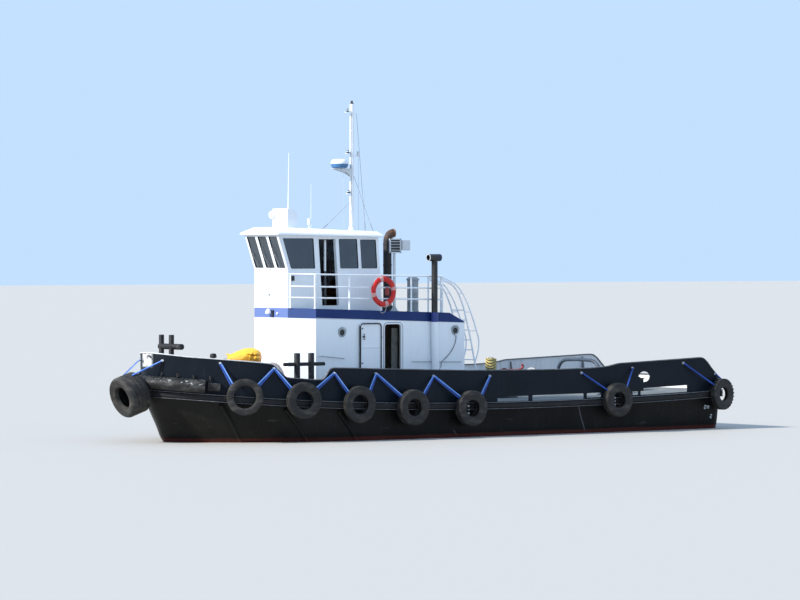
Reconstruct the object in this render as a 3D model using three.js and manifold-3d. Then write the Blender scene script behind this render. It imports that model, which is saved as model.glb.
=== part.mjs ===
// A small steel harbour tug, in millimetres.
// +X points to the bow, +Y to port and +Z up; the origin is on the waterline, amidships, on the centreline.
import * as THREE from 'three';
import { mergeVertices } from 'three/addons/utils/BufferGeometryUtils.js';
import Module from 'manifold-3d';

const wasm = await Module();
wasm.setup();

// Driving dimensions.
const SEAM = 0.3;               // gap left between pieces that touch
const STEM_X = 8500;            // stem at the deck edge
const TRANSOM_X = -8950;        // flat of the transom
const HALF_BEAM = 2500;
const PLATE = 50;               // thickness of walls and bulwarks
const HOUSE_HALF = 1275;        // deckhouse half width
const CABIN_HALF = 755;         // wheelhouse half width, also the flat front of the deckhouse
const HOUSE_FRONT = 4620;
const HOUSE_AFT = -750;
const CHAMFER = 520;            // deckhouse front corner, along X and along Y
const CABIN_AFT = 1650;
const BAND_DEPTH = 255;         // edge of the deckhouse top
const RAIL_R = 21;              // guard rail tube radius
const FENDER_DEPTH = 340;       // bow rubber, out from the plating
const FENDER_TALL = 330;
const BELT_OUT = 120;           // rubbing belt, out from the plating
const TYRE_R = 465;

// Deck edge height: lowest a little aft of amidships, rising to bow and stern.
const SHEER_LOW_X = -1500;
const SHEER_LOW_Z = 890;
function sheer(x) {
  const u = (x - SHEER_LOW_X) / 1000;
  return u > 0 ? SHEER_LOW_Z + 3.5 * u * u + 0.01 * u ** 4 : SHEER_LOW_Z + 3 * u * u;
}
// The deckhouse top and the wheelhouse roof both fall gently aft.
const HOUSE_TOP_Z = 3400;
const HOUSE_FALL = 0.0325;
const ROOF_Z = 5290;
const ROOF_FALL = 0.018;
const houseTop = (x) => HOUSE_TOP_Z - HOUSE_FALL * (HOUSE_FRONT - x);
const roofUnder = (x) => ROOF_Z - ROOF_FALL * (HOUSE_FRONT - x);
// Roof: its underside's front, aft end, half width and edge; then the flat of its top, higher at the front.
const ROOF = {
  front: 5010, aft: 1600, half: 870, edge: 45,
  topFront: 4720, topAft: 1660, topHalf: 650, riseFront: 200, riseAft: 150,
};
function roofTop(x) {
  const { topFront, topAft, riseFront, riseAft } = ROOF;
  return roofUnder(x) + riseFront + (riseAft - riseFront) * (topFront - x) / (topFront - topAft);
}

const tug = new THREE.Group();

function paint(color, roughness, metalness = 0) {
  return new THREE.MeshStandardMaterial({ color, roughness, metalness });
}
const BLACK_PAINT = paint(0x15171c, 0.45);
const WHITE_PAINT = paint(0xe9edf0, 0.45);
const BLUE_PAINT = paint(0x1f2f6b, 0.5);
const GREY_PAINT = paint(0x7d858a, 0.6);
const GALVANISED = paint(0xc4cac9, 0.4, 0.6);
const RUBBER = paint(0x1b1b1b, 0.85);
const BRONZE = paint(0xa57c3a, 0.35, 1);
const ORANGE = paint(0xd8401f, 0.6);
const YELLOW = paint(0xf0b428, 0.8);
const ROPE = paint(0xd9a441, 0.9);
const RED_PAINT = paint(0x9c2a22, 0.5);

// Solids and meshes.
function toSolid(geometry) {
  const plain = geometry.clone();
  for (const key of Object.keys(plain.attributes)) {
    if (key !== 'position') plain.deleteAttribute(key);
  }
  const merged = mergeVertices(plain, 0.01);
  const corners = merged.index.array;
  const kept = [];
  for (let i = 0; i < corners.length; i += 3) {
    const [a, b, c] = [corners[i], corners[i + 1], corners[i + 2]];
    if (a !== b && b !== c && c !== a) kept.push(a, b, c);
  }
  const vertProperties = new Float32Array(merged.attributes.position.array);
  const triVerts = new Uint32Array(kept);
  return new wasm.Manifold(new wasm.Mesh({ numProp: 3, vertProperties, triVerts }));
}

function toGeometry(solid) {
  const mesh = solid.getMesh();
  const geometry = new THREE.BufferGeometry();
  geometry.setAttribute('position', new THREE.BufferAttribute(new Float32Array(mesh.vertProperties), 3));
  geometry.setIndex(new THREE.BufferAttribute(new Uint32Array(mesh.triVerts), 1));
  return geometry;
}

function add(name, solid, material) {
  const mesh = new THREE.Mesh(toGeometry(solid), material);
  mesh.name = name;
  tug.add(mesh);
  return mesh;
}

function join(solids) {
  return solids.reduce((whole, next) => whole.add(next));
}

function cut(solid, tools) {
  return tools.reduce((left, tool) => left.subtract(tool), solid);
}

// Mirrors a solid to starboard.
function mirrored(solid) {
  const geometry = toGeometry(solid).scale(1, -1, 1);
  const index = geometry.index.array;
  for (let i = 0; i < index.length; i += 3) [index[i], index[i + 1]] = [index[i + 1], index[i]];
  return toSolid(geometry);
}

// Basic shapes.
const outline = (points) => new THREE.Shape(points.map(([a, b]) => new THREE.Vector2(a, b)));
const AXIS_X = new THREE.Vector3(1, 0, 0);
const AXIS_Y = new THREE.Vector3(0, 1, 0);
const AXIS_Z = new THREE.Vector3(0, 0, 1);

function extruded(shape, depth, right, up, out, offset) {
  const geometry = new THREE.ExtrudeGeometry(shape, { depth, bevelEnabled: false, curveSegments: 8 });
  geometry.applyMatrix4(new THREE.Matrix4().makeBasis(right, up, out).setPosition(offset));
  return toSolid(geometry);
}
// Outline in X and Z, from y0 to y1.
function prismY(points, y0, y1) {
  const inward = new THREE.Vector3(0, -1, 0);
  return extruded(outline(points), y1 - y0, AXIS_X, AXIS_Z, inward, new THREE.Vector3(0, y1, 0));
}
// Outline in X and Y, from z0 to z1.
function prismZ(points, z0, z1) {
  return extruded(outline(points), z1 - z0, AXIS_X, AXIS_Y, AXIS_Z, new THREE.Vector3(0, 0, z0));
}
function block([x0, x1], [y0, y1], [z0, z1]) {
  const geometry = new THREE.BoxGeometry(x1 - x0, y1 - y0, z1 - z0);
  geometry.translate((x0 + x1) / 2, (y0 + y1) / 2, (z0 + z1) / 2);
  return toSolid(geometry);
}
const point = (p) => new THREE.Vector3(...p);

// A straight bar between two points, r0 at the first and r1 at the second; phase turns its facets.
function rod(from, to, r0, sides = 8, r1 = r0, phase = 0) {
  const a = point(from);
  const b = point(to);
  const along = b.clone().sub(a);
  const geometry = new THREE.CylinderGeometry(r1, r0, along.length(), sides, 1, false, phase);
  geometry.applyQuaternion(new THREE.Quaternion().setFromUnitVectors(AXIS_Y, along.clone().normalize()));
  geometry.translate(...a.add(b).multiplyScalar(0.5).toArray());
  return toSolid(geometry);
}
// A bent tube through the points.
function tube(points, radius, steps, sides = 8) {
  const path = new THREE.CatmullRomCurve3(points.map(point), false, 'centripetal');
  const ring = [];
  for (let i = 0; i < sides; i += 1) {
    const turn = 2 * Math.PI * i / sides;
    ring.push(new THREE.Vector2(radius * Math.cos(turn), radius * Math.sin(turn)));
  }
  const shape = new THREE.Shape(ring);
  return toSolid(new THREE.ExtrudeGeometry(shape, { steps, extrudePath: path, bevelEnabled: false }));
}
// A turned ring: profile points are [radius, height] and close on themselves.
function turned(profile, segments, matrix) {
  const closed = [...profile, profile[0]].map(([r, h]) => new THREE.Vector2(r, h));
  const geometry = new THREE.LatheGeometry(closed, segments);
  geometry.applyMatrix4(matrix);
  return outward(geometry);
}
// Skins matching closed rings of points, and closes both ends.
function loft(rings) {
  const count = rings[0].length;
  const positions = rings.flat(2);
  const index = [];
  for (let i = 0; i + 1 < rings.length; i += 1) {
    for (let j = 0; j < count; j += 1) {
      const a = i * count + j;
      const b = i * count + (j + 1) % count;
      index.push(a, b, b + count, a, b + count, a + count);
    }
  }
  for (let j = 1; j + 1 < count; j += 1) {
    const last = (rings.length - 1) * count;
    index.push(0, j + 1, j);
    index.push(last, last + j, last + j + 1);
  }
  const geometry = new THREE.BufferGeometry();
  geometry.setAttribute('position', new THREE.Float32BufferAttribute(positions, 3));
  geometry.setIndex(index);
  return outward(geometry);
}
function outward(geometry) {
  const p = geometry.attributes.position;
  const index = geometry.index.array;
  let volume = 0;
  const [a, b, c] = [new THREE.Vector3(), new THREE.Vector3(), new THREE.Vector3()];
  for (let i = 0; i < index.length; i += 3) {
    a.fromBufferAttribute(p, index[i]);
    b.fromBufferAttribute(p, index[i + 1]);
    c.fromBufferAttribute(p, index[i + 2]);
    volume += a.dot(b.cross(c));
  }
  if (volume < 0) {
    for (let i = 0; i < index.length; i += 3) [index[i], index[i + 1]] = [index[i + 1], index[i]];
  }
  return toSolid(geometry);
}

// Hull lines. Each level is one plan curve from the stem to the transom, the same number of points on each.
// stem: X of the stem, nose: fullness there, knee: [X, Y] of the shoulder, full: [X, Y] of the curve's end,
// aft: half breadth at the transom, corner: radius there, z: heights at stem, amidships and transom.
const LEVELS = [
  { stem: STEM_X, nose: 750, knee: [6950, 2420], full: [4200, HALF_BEAM], aft: 2350, corner: 350, z: null },
  { stem: 8100, nose: 550, knee: [6600, 2350], full: [3800, 2470], aft: 2300, corner: 350, z: [450, 420, 470] },
  { stem: 7920, nose: 400, knee: [6300, 2200], full: [3400, 2440], aft: 2220, corner: 380, z: [0, 0, 0] },
  { stem: 7350, nose: 150, knee: [5600, 1800], full: [2600, 2180], aft: 1950, corner: 350, z: [-550, -800, -120] },
  { stem: 6800, nose: 60, knee: [5000, 800], full: [1500, 1150], aft: 900, corner: 200, z: [-1050, -1380, -220] },
];
const KEEL = { stem: 6500, z: [-1220, -1600, -300] };
const RUN_X = -2500;            // where the bottom begins to rise aft
const BOW_STEPS = 12;
const RUN_STEPS = 3;
const AFT_STEPS = 6;
const CORNER_STEPS = 4;

function levelPoints(level) {
  const { stem, nose, knee, full, aft, corner } = level;
  const bow = new THREE.CubicBezierCurve(
    new THREE.Vector2(stem, 0), new THREE.Vector2(stem, nose),
    new THREE.Vector2(...knee), new THREE.Vector2(...full));
  const heights = level.z;
  const rise = (s) => heights[1] + (heights[2] - heights[1]) * s ** 1.2;
  const points = [];
  for (let i = 0; i <= BOW_STEPS; i += 1) {
    const t = i / BOW_STEPS;
    const { x, y } = bow.getPoint(t);
    points.push([x, y, heights && heights[1] + (heights[0] - heights[1]) * (1 - t) ** 2]);
  }
  for (let i = 1; i <= RUN_STEPS; i += 1) {
    const x = full[0] + (RUN_X - full[0]) * i / RUN_STEPS;
    points.push([x, full[1], heights && heights[1]]);
  }
  const cornerX = TRANSOM_X + corner;
  for (let i = 1; i <= AFT_STEPS; i += 1) {
    const s = i / AFT_STEPS;
    const x = RUN_X + (cornerX - RUN_X) * s;
    points.push([x, full[1] + (aft - full[1]) * s * s, heights && rise((RUN_X - x) / (RUN_X - TRANSOM_X))]);
  }
  for (let i = 1; i <= CORNER_STEPS; i += 1) {
    const turn = Math.PI / 2 * i / CORNER_STEPS;
    const x = cornerX - corner * Math.sin(turn);
    const y = aft - corner + corner * Math.cos(turn);
    points.push([x, y, heights && rise((RUN_X - x) / (RUN_X - TRANSOM_X))]);
  }
  if (!heights) points.forEach((p) => { p[2] = sheer(p[0]); });
  return points;
}
const levels = LEVELS.map(levelPoints);
const deckEdge = levels[0];
const keelLine = levels.at(-1).map(([x], i, all) => {
  const s = i <= BOW_STEPS ? 0 : Math.max(0, (RUN_X - x) / (RUN_X - TRANSOM_X));
  const t = Math.min(1, i / BOW_STEPS);
  const start = all[0][0];
  const flat = all[BOW_STEPS][0];
  const kx = i <= BOW_STEPS ? KEEL.stem + (flat - KEEL.stem) * (start - x) / (start - flat) : x;
  const kz = KEEL.z[1] + (KEEL.z[0] - KEEL.z[1]) * (1 - t) ** 2 + (KEEL.z[2] - KEEL.z[1]) * s ** 1.2;
  return [kx, 0, kz];
});

// The point of a level at one X, between its own points.
function onLevel(line, x) {
  const i = line.findIndex((p) => p[0] <= x);
  const [a, b] = [line[i - 1], line[i]];
  const f = (x - a[0]) / (b[0] - a[0]);
  return a.map((v, k) => v + (b[k] - v) * f);
}
const starboard = ([x, y, z]) => [x, -y, z];

// Trims a piece to sit on the deck, the deckhouse top or the flat of the roof.
const DEEP = 2500;
function seated(piece, line) {
  const [start, end] = [line[0], line.at(-1)];
  const under = [...line.map(([x, z]) => [x, z + SEAM]), [end[0], end[1] - DEEP], [start[0], start[1] - DEEP]];
  return piece.subtract(prismY(under, -3000, 3000));
}
const deckLine = deckEdge.map(([x, , z]) => [x, z]);
const onDeck = (piece) => seated(piece, deckLine);
const onHouse = (piece) => seated(piece, [[6000, houseTop(6000)], [HOUSE_AFT, houseTop(HOUSE_AFT)]]);
const onRoof = (piece) => seated(piece, [[6000, roofTop(6000)], [1000, roofTop(1000)]]);

// Hull: the plating with its deck, a skeg with the shaft tube, the sole piece and slanting rubbing bars.
const SHAFT_Z = -1330;
const APERTURE_X = -6950;       // front of the propeller opening
const RUDDER_X = -7980;         // rudder stock
const SOLE_Z = -1960;
const BAR_R = 50;
// Bearings: bore radius and facets. A journal turns in its bore with its corners at the bore's flats.
const SHAFT_BORE = { r: 60, facets: 12 };
const STOCK_BORE = { r: 55, facets: 12 };
const PINTLE_BORE = { r: 35, facets: 10 };
const bore = (from, to, { r, facets }) => rod(from, to, r, facets);
function journal(from, to, { r, facets }) {
  const fit = r * Math.cos(Math.PI / facets) - SEAM;
  return rod(from, to, fit, facets, fit, Math.PI / facets);
}
// Slanting bars on the side, one row each: X at the deck edge, at the middle level and at the waterline.
const SIDE_BARS = [
  [7280, 6850, 6550],
  [5770, 5360, 4990],
  [4270, 3970, 3640],
];
// A raised hatch on the aft deck, its lid hinged at the forward edge.
const HATCH = { x0: -7700, x1: -6900, half: 400, tall: 330, pinY: [-300, 300], pinR: 25 };
const HATCH_TOP = sheer(HATCH.x0) + HATCH.tall;
const HATCH_PIN = { x: HATCH.x1 + 45, z: HATCH_TOP + HATCH.pinR };
function hatchCoaming() {
  const { x0, x1, half, pinY } = HATCH;
  const foot = sheer(x1) - 60;
  const walls = block([x0, x1], [-half, half], [foot, HATCH_TOP])
    .subtract(block([x0 + PLATE, x1 - PLATE], [-half + PLATE, half - PLATE], [0, 3000]));
  const lugX = [x1 - 10, HATCH_PIN.x + 20];
  const lugs = pinY.map((y) => block(lugX, [y - 20, y + 20], [HATCH_TOP - 70, HATCH_TOP]));
  return join([walls, ...lugs]);
}
function hullSolid() {
  const rings = deckEdge.map((_, i) => [
    ...levels.map((line) => line[i]),
    keelLine[i],
    ...levels.map((line) => starboard(line[i])).reverse(),
  ]);
  const skeg = prismY([
    [-1000, KEEL.z[1] + 60], [-1000, KEEL.z[1]], [-2600, SOLE_Z], [-8300, SOLE_Z], [-8300, SOLE_Z + 80],
    [APERTURE_X, SOLE_Z + 80], [APERTURE_X, -600], [-5500, -1000], [-3500, KEEL.z[1] + 300],
  ], -55, 55);
  const tubeHousing = rod([-5600, 0, SHAFT_Z], [APERTURE_X - 20, 0, SHAFT_Z], 150, 16);
  const parts = [loft(rings), skeg, tubeHousing, hatchCoaming()];
  for (const [atDeck, atMid, atWater] of SIDE_BARS) {
    const along = [onLevel(deckEdge, atDeck), onLevel(levels[1], atMid), onLevel(levels[2], atWater)];
    along[0][2] -= 245;
    for (const side of [(p) => p, starboard]) {
      parts.push(rod(side(along[0]), side(along[1]), BAR_R, 6), rod(side(along[1]), side(along[2]), BAR_R, 6));
    }
  }
  return cut(join(parts), [
    bore([-6450, 0, SHAFT_Z], [APERTURE_X - 60, 0, SHAFT_Z], SHAFT_BORE),
    bore([RUDDER_X, 0, -1000], [RUDDER_X, 0, -150], STOCK_BORE),
    bore([RUDDER_X, 0, SOLE_Z + 30], [RUDDER_X, 0, SOLE_Z + 200], PINTLE_BORE),
  ]);
}
add('hull', hullSolid(), BLACK_PAINT);

// Propeller: four blades on a hub, with its shaft in the shaft tube.
const PROP_X = -7300;
const PROP_R = 490;
function propellerSolid() {
  const parts = [
    journal([-6550, 0, SHAFT_Z], [PROP_X, 0, SHAFT_Z], SHAFT_BORE),
    rod([PROP_X + 140, 0, SHAFT_Z], [PROP_X - 120, 0, SHAFT_Z], 105, 12, 80),
  ];
  for (let i = 0; i < 4; i += 1) {
    const blade = new THREE.ExtrudeGeometry(outline([
      [-60, 60], [-140, 220], [-180, 350], [-115, 460], [0, PROP_R],
      [115, 460], [160, 350], [120, 220], [60, 60],
    ]), { depth: 26, bevelEnabled: false });
    blade.translate(0, 0, -13);
    blade.rotateY(Math.PI / 2 - 0.5);
    blade.rotateX(i * Math.PI / 2);
    blade.translate(PROP_X, 0, SHAFT_Z);
    parts.push(toSolid(blade));
  }
  return join(parts);
}
add('propeller', propellerSolid(), BRONZE);

// Rudder: a tapered blade on its stock, with a pintle in the sole piece.
function rudderSolid() {
  const top = -640;
  const foot = SOLE_Z + 110;
  const blade = prismZ([
    [RUDDER_X + 230, 0], [RUDDER_X + 120, 45], [RUDDER_X - 200, 40], [RUDDER_X - 520, 8],
    [RUDDER_X - 520, -8], [RUDDER_X - 200, -40], [RUDDER_X + 120, -45],
  ], foot, top);
  return join([
    blade,
    journal([RUDDER_X, 0, top - 100], [RUDDER_X, 0, -200], STOCK_BORE),
    journal([RUDDER_X, 0, foot + 60], [RUDDER_X, 0, SOLE_Z + 40], PINTLE_BORE),
  ]);
}
add('rudder', rudderSolid(), BLACK_PAINT);

// Offsets a plan path outwards; its ends lie on the centreline at bow and stern.
const halfPath = [...deckEdge, [TRANSOM_X, 0, sheer(TRANSOM_X)]];
function offset(path, distance) {
  return path.map(([x, y, z], i) => {
    if (i === 0) return [x + distance, y, z];
    if (i === path.length - 1) return [x - distance, y, z];
    const [before, after] = [path[i - 1], path[i + 1]];
    const d1 = new THREE.Vector2(x - before[0], y - before[1]).normalize();
    const d2 = new THREE.Vector2(after[0] - x, after[1] - y).normalize();
    const mean = d1.add(d2).normalize();
    const spread = distance / Math.max(0.5, mean.dot(d2));
    return [x + mean.y * spread, y - mean.x * spread, z];
  });
}

// Rubbing belt at the deck edge, one length each side.
const BELT_TOP = 10;
const BELT_TALL = 180;
function beltSolid() {
  const inner = offset(halfPath, 1);
  const outer = offset(halfPath, BELT_OUT);
  const rings = inner.map(([x, y], i) => {
    const top = halfPath[i][2] + BELT_TOP;
    const [ox, oy] = outer[i];
    const mix = (f) => [x + (ox - x) * f, y + (oy - y) * f];
    return [
      [x, y, top], [...mix(0.7), top], [ox, oy, top - 50],
      [ox, oy, top - BELT_TALL + 50], [...mix(0.7), top - BELT_TALL], [x, y, top - BELT_TALL],
    ];
  });
  return loft(rings).subtract(block([TRANSOM_X - 500, STEM_X + 500], [-400, SEAM / 2], [0, 3000]));
}
const belt = beltSolid();
add('belting_port', belt, RUBBER);
add('belting_starboard', mirrored(belt), RUBBER);

// Bow fender: a thick rubber round the stem above the belt, with a thinner end block each side.
const FENDER_END_X = 7560;
const FENDER_BLOCK_X = 7250;
const FENDER_LIFT = 200;        // its middle above the deck edge
function fenderSolid() {
  const full = deckEdge.filter(([x]) => x > FENDER_END_X + 60);
  const thin = deckEdge.filter(([x]) => x < FENDER_END_X - 60 && x > FENDER_BLOCK_X + 60);
  const port = [...full, onLevel(deckEdge, FENDER_END_X), onLevel(deckEdge, FENDER_END_X - 20),
    ...thin, onLevel(deckEdge, FENDER_BLOCK_X)];
  const wide = port.map((_, i) => (i <= full.length ? 1 : 0.5));
  const path = [...port].reverse().concat(port.slice(1).map(starboard));
  const fullness = [...wide].reverse().concat(wide.slice(1));
  const section = [[0, -1], [0.5, -1], [0.85, -0.72], [1, 0], [0.85, 0.72], [0.5, 1], [0, 1]];
  const rings = path.map(([x, y, z], i) => {
    const before = path[Math.max(0, i - 1)];
    const after = path[Math.min(path.length - 1, i + 1)];
    const along = new THREE.Vector2(after[0] - before[0], after[1] - before[1]).normalize();
    const [nx, ny] = [-along.y, along.x];
    return section.map(([out, up]) => {
      const d = 2 * SEAM + FENDER_DEPTH * fullness[i] * out;
      const h = FENDER_TALL / 2 * (fullness[i] < 1 ? 0.6 : 1) * up;
      return [x + nx * d, y + ny * d, z + FENDER_LIFT + h];
    });
  });
  return loft(rings);
}
add('bow_fender', fenderSolid(), RUBBER);

// Bulwark: one upright band round the deck, trimmed to its top line, then split into four lengths.
// Top line, one row each: X, height above the waterline.
const BULWARK_TOP = [
  [9000, 2350], [8520, 2290], [7960, 2195], [6360, 2043], [6110, 2013], [6010, 1960], [5830, 1727],
  [5710, 1650], [4960, 1589], [4730, 1585], [4645, 1665], [4540, 1850], [4440, 1885], [3590, 1862],
  [2950, 1835], [100, 1746], [-1780, 1727], [-3020, 1722], [-4050, 1735], [-4690, 1772], [-5080, 1844],
  [-8040, 1955], [-8160, 1940], [-8290, 1855], [-8500, 1640], [-8720, 1440], [-8800, 1412], [-9200, 1412],
];
// Freeing ports, one row each: X forward, X aft, bottom and top above the deck edge.
const FREEING_PORTS = [
  [-900, -1950, 20, 150],
  [-2080, -3840, 15, 160],
  [-3950, -4450, 40, 160],
  [-5570, -5770, 40, 180],
  [-5860, -7570, 30, 212],
];
const HAWSE = { x: -5990, z: 1470, rx: 200, rz: 143 };
const BOW_SPLIT = 6130;
const STERN_SPLIT = -8450;
function bulwarkBand() {
  const outer = [...deckEdge, ...deckEdge.slice(1).reverse().map(starboard)];
  const innerHalf = offset(halfPath, -PLATE).slice(0, -1);
  const inner = [...innerHalf, ...innerHalf.slice(1).reverse().map(starboard)];
  const band = prismZ(outer, 500, 2600).subtract(prismZ(inner, 400, 2700));
  const bottom = [...deckEdge].reverse().map(([x, , z]) => [x, z + SEAM]);
  const [sternFoot, bowFoot] = [bottom[0][1], bottom.at(-1)[1]];
  const profile = [[TRANSOM_X - 200, sternFoot], ...bottom, [STEM_X + 400, bowFoot], ...BULWARK_TOP];
  const hawse = new THREE.Shape();
  hawse.absellipse(HAWSE.x, HAWSE.z, HAWSE.rx, HAWSE.rz, 0, 2 * Math.PI);
  const cuts = FREEING_PORTS.map(([x0, x1, low, high]) => prismY([
    [x0, sheer(x0) + low], [x0, sheer(x0) + high], [x1, sheer(x1) + high], [x1, sheer(x1) + low],
  ], -3000, 3000));
  cuts.push(prismY(hawse.getPoints(5).slice(0, -1).map(({ x, y }) => [x, y]), -3000, 3000));
  return cut(band.intersect(prismY(profile, -3000, 3000)), cuts);
}
const bulwark = bulwarkBand();
function bulwarkLength(name, alongX, alongY) {
  add(name, bulwark.intersect(block(alongX, alongY, [0, 3000])), BLACK_PAINT);
}
const SIDE_LENGTH = [STERN_SPLIT, BOW_SPLIT - SEAM];
bulwarkLength('bulwark_bow', [BOW_SPLIT, 9500], [-3000, 3000]);
bulwarkLength('bulwark_port', SIDE_LENGTH, [0, 3000]);
bulwarkLength('bulwark_starboard', SIDE_LENGTH, [-3000, 0]);
bulwarkLength('bulwark_stern', [-9500, STERN_SPLIT - SEAM], [-3000, 3000]);

// Deckhouse: walls on the deck, under one top plate whose edge is the painted band.
const FRONT_PLAN = [[HOUSE_FRONT, -CABIN_HALF], [HOUSE_FRONT, CABIN_HALF],
  [HOUSE_FRONT - CHAMFER, HOUSE_HALF], [HOUSE_FRONT - CHAMFER, -HOUSE_HALF]];
const deckUnder = deckEdge.filter(([x]) => x < 6000 && x > -2600).map(([x, , z]) => [x, z + SEAM]);
const wallProfile = [
  [6000, HOUSE_TOP_Z - BAND_DEPTH - SEAM + HOUSE_FALL * (6000 - HOUSE_FRONT)],
  [-2600, houseTop(-2600) - BAND_DEPTH - SEAM],
  ...[...deckUnder].reverse(),
];
function wall(plan) {
  return prismZ(plan, 0, 4000).intersect(prismY(wallProfile, -2000, 2000));
}
const PORTHOLES = [[3270, 2756], [-430, 2769]];   // X, Z
const PORTHOLE_R = 90;
const porthole = ([x, z]) => rod([x, -2000, z], [x, 2000, z], PORTHOLE_R, 16);
const DOORWAY = { x0: 1340, x1: 1900, z0: 1120, z1: 2970 };
const HINGE = { x: 1990, y: HOUSE_HALF + 35 };
const LEAF_T = 50;
const LUG_HEIGHTS = [1400, 2640];

// A cable hangs along the port wall from a gland under the aft porthole to a socket box; points are X, Z.
const CABLE = [[-450, 2640], [-449, 2570], [-430, 2470], [-386, 2370], [-290, 2220], [-155, 2085], [-40, 2000],
  [30, 1935], [52, 1860], [52, 1790]];
const CABLE_Y = HOUSE_HALF + 22;
const CABLE_R = 8;

function frontWall() {
  const inset = PLATE * Math.SQRT2;
  const inner = [[HOUSE_FRONT - PLATE, -CABIN_HALF + PLATE / 2], [HOUSE_FRONT - PLATE, CABIN_HALF - PLATE / 2],
    [HOUSE_FRONT - CHAMFER, HOUSE_HALF - inset], [HOUSE_FRONT - CHAMFER - 1, HOUSE_HALF - inset],
    [HOUSE_FRONT - CHAMFER - 1, -HOUSE_HALF + inset], [HOUSE_FRONT - CHAMFER, -HOUSE_HALF + inset]];
  return wall(FRONT_PLAN).subtract(prismZ(inner, -10, 4100));
}
function sideWall(plain) {
  const plan = [[HOUSE_FRONT - CHAMFER - SEAM, HOUSE_HALF - PLATE], [HOUSE_FRONT - CHAMFER - SEAM, HOUSE_HALF],
    [HOUSE_AFT, HOUSE_HALF], [HOUSE_AFT, HOUSE_HALF - PLATE]];
  const panel = cut(wall(plan), PORTHOLES.map(porthole));
  if (plain) return panel;
  const { x0, x1, z0, z1 } = DOORWAY;
  const wallFace = HOUSE_HALF - 10;
  const lugX = [HINGE.x - 18, HINGE.x + 18];
  const lugs = LUG_HEIGHTS.map((z) => block(lugX, [wallFace, HINGE.y + 15], [z - 30, z]));
  const [start, end] = [CABLE[0], CABLE.at(-1)];
  const gland = block([start[0] - 18, start[0] + 18], [wallFace, CABLE_Y + 18], [start[1], start[1] + 40]);
  const socket = block([end[0] - 50, end[0] + 40], [wallFace, CABLE_Y + 30], [end[1] - 110, end[1]]);
  return join([cut(panel, [block([x0, x1], [0, 2000], [z0, z1])]), ...lugs, gland, socket]);
}
add('deckhouse_front', frontWall(), WHITE_PAINT);
add('deckhouse_port', sideWall(false), WHITE_PAINT);
add('deckhouse_starboard', mirrored(sideWall(true)), WHITE_PAINT);
const innerHalf = HOUSE_HALF - PLATE - SEAM;
add('deckhouse_aft', wall([[HOUSE_AFT, -innerHalf], [HOUSE_AFT + PLATE, -innerHalf],
  [HOUSE_AFT + PLATE, innerHalf], [HOUSE_AFT, innerHalf]]), WHITE_PAINT);

function cableSolid() {
  const ends = [SEAM, ...CABLE.slice(1).map(() => 0)];
  ends[CABLE.length - 1] = -SEAM;
  return tube(CABLE.map(([x, z], i) => [x, CABLE_Y, z - ends[i]]), CABLE_R, 28, 8);
}
add('wall_cable', cableSolid(), RUBBER);

// The top plate, with its aft edge sloped down to the walls.
const SLOPE_START = HOUSE_AFT + 500;
const topPlan = [...FRONT_PLAN.slice(0, 3), [HOUSE_AFT, HOUSE_HALF], [HOUSE_AFT, -HOUSE_HALF], FRONT_PLAN[3]];
const bandFoot = (x) => houseTop(x) - BAND_DEPTH;
const topProfile = [[6000, bandFoot(6000)], [6000, houseTop(6000)], [SLOPE_START, houseTop(SLOPE_START)],
  [HOUSE_AFT, bandFoot(HOUSE_AFT) + 30], [HOUSE_AFT, bandFoot(HOUSE_AFT)]];
add('deckhouse_top', prismZ(topPlan, 2500, 4000).intersect(prismY(topProfile, -2000, 2000)), BLUE_PAINT);

// Deckhouse door: it stands folded back flat along the wall and swings shut over the doorway.
function leafSolid() {
  const thick = [HINGE.y - LEAF_T / 2, HINGE.y + LEAF_T / 2];
  const leaf = block([HINGE.x + 30, HINGE.x + 740], thick, [1090, 3000]);
  const barrels = LUG_HEIGHTS.map((z) => join([
    rod([HINGE.x, HINGE.y, z + SEAM], [HINGE.x, HINGE.y, z + 80], 18, 10),
    block([HINGE.x, HINGE.x + 60], [HINGE.y - 12, HINGE.y + 12], [z + SEAM, z + 80]),
  ]));
  const handle = block([HINGE.x + 595, HINGE.x + 625], [HINGE.y, HINGE.y + 55], [2560, 2720]);
  return join([leaf, ...barrels, handle]);
}
add('deckhouse_door', leafSolid(), WHITE_PAINT);

// Wheelhouse: raked front windows, upright-leaning sides with windows cut, and a plain aft wall.
const SILL_Z = 4400;
const RAKE = 315;               // how far the front leans out from sill to roof
const LEAN = 0.07;              // side posts lean forward, X per Z
const cabinFoot = (x) => houseTop(x) + SEAM;
const cabinHead = (x) => roofUnder(x) - SEAM;
const lean = (x, z) => x + LEAN * (z - SILL_Z);
function cabinFront() {
  const head = cabinHead(HOUSE_FRONT + RAKE - PLATE);
  const inside = HOUSE_FRONT - PLATE;
  const shell = prismY([
    [HOUSE_FRONT, cabinFoot(HOUSE_FRONT)], [HOUSE_FRONT, SILL_Z], [HOUSE_FRONT + RAKE, head],
    [inside + RAKE, head], [inside, SILL_Z], [inside, cabinFoot(HOUSE_FRONT)],
  ], -CABIN_HALF, CABIN_HALF);
  // Panes, one row each: Y to starboard, Y to port.
  const panes = [[-690, -290], [-205, 205], [290, 690]];
  const through = [HOUSE_FRONT - 300, HOUSE_FRONT + 600];
  const windows = panes.map((across) => block(through, across, [SILL_Z + 25, head - 32]));
  return cut(shell, windows);
}
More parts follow.
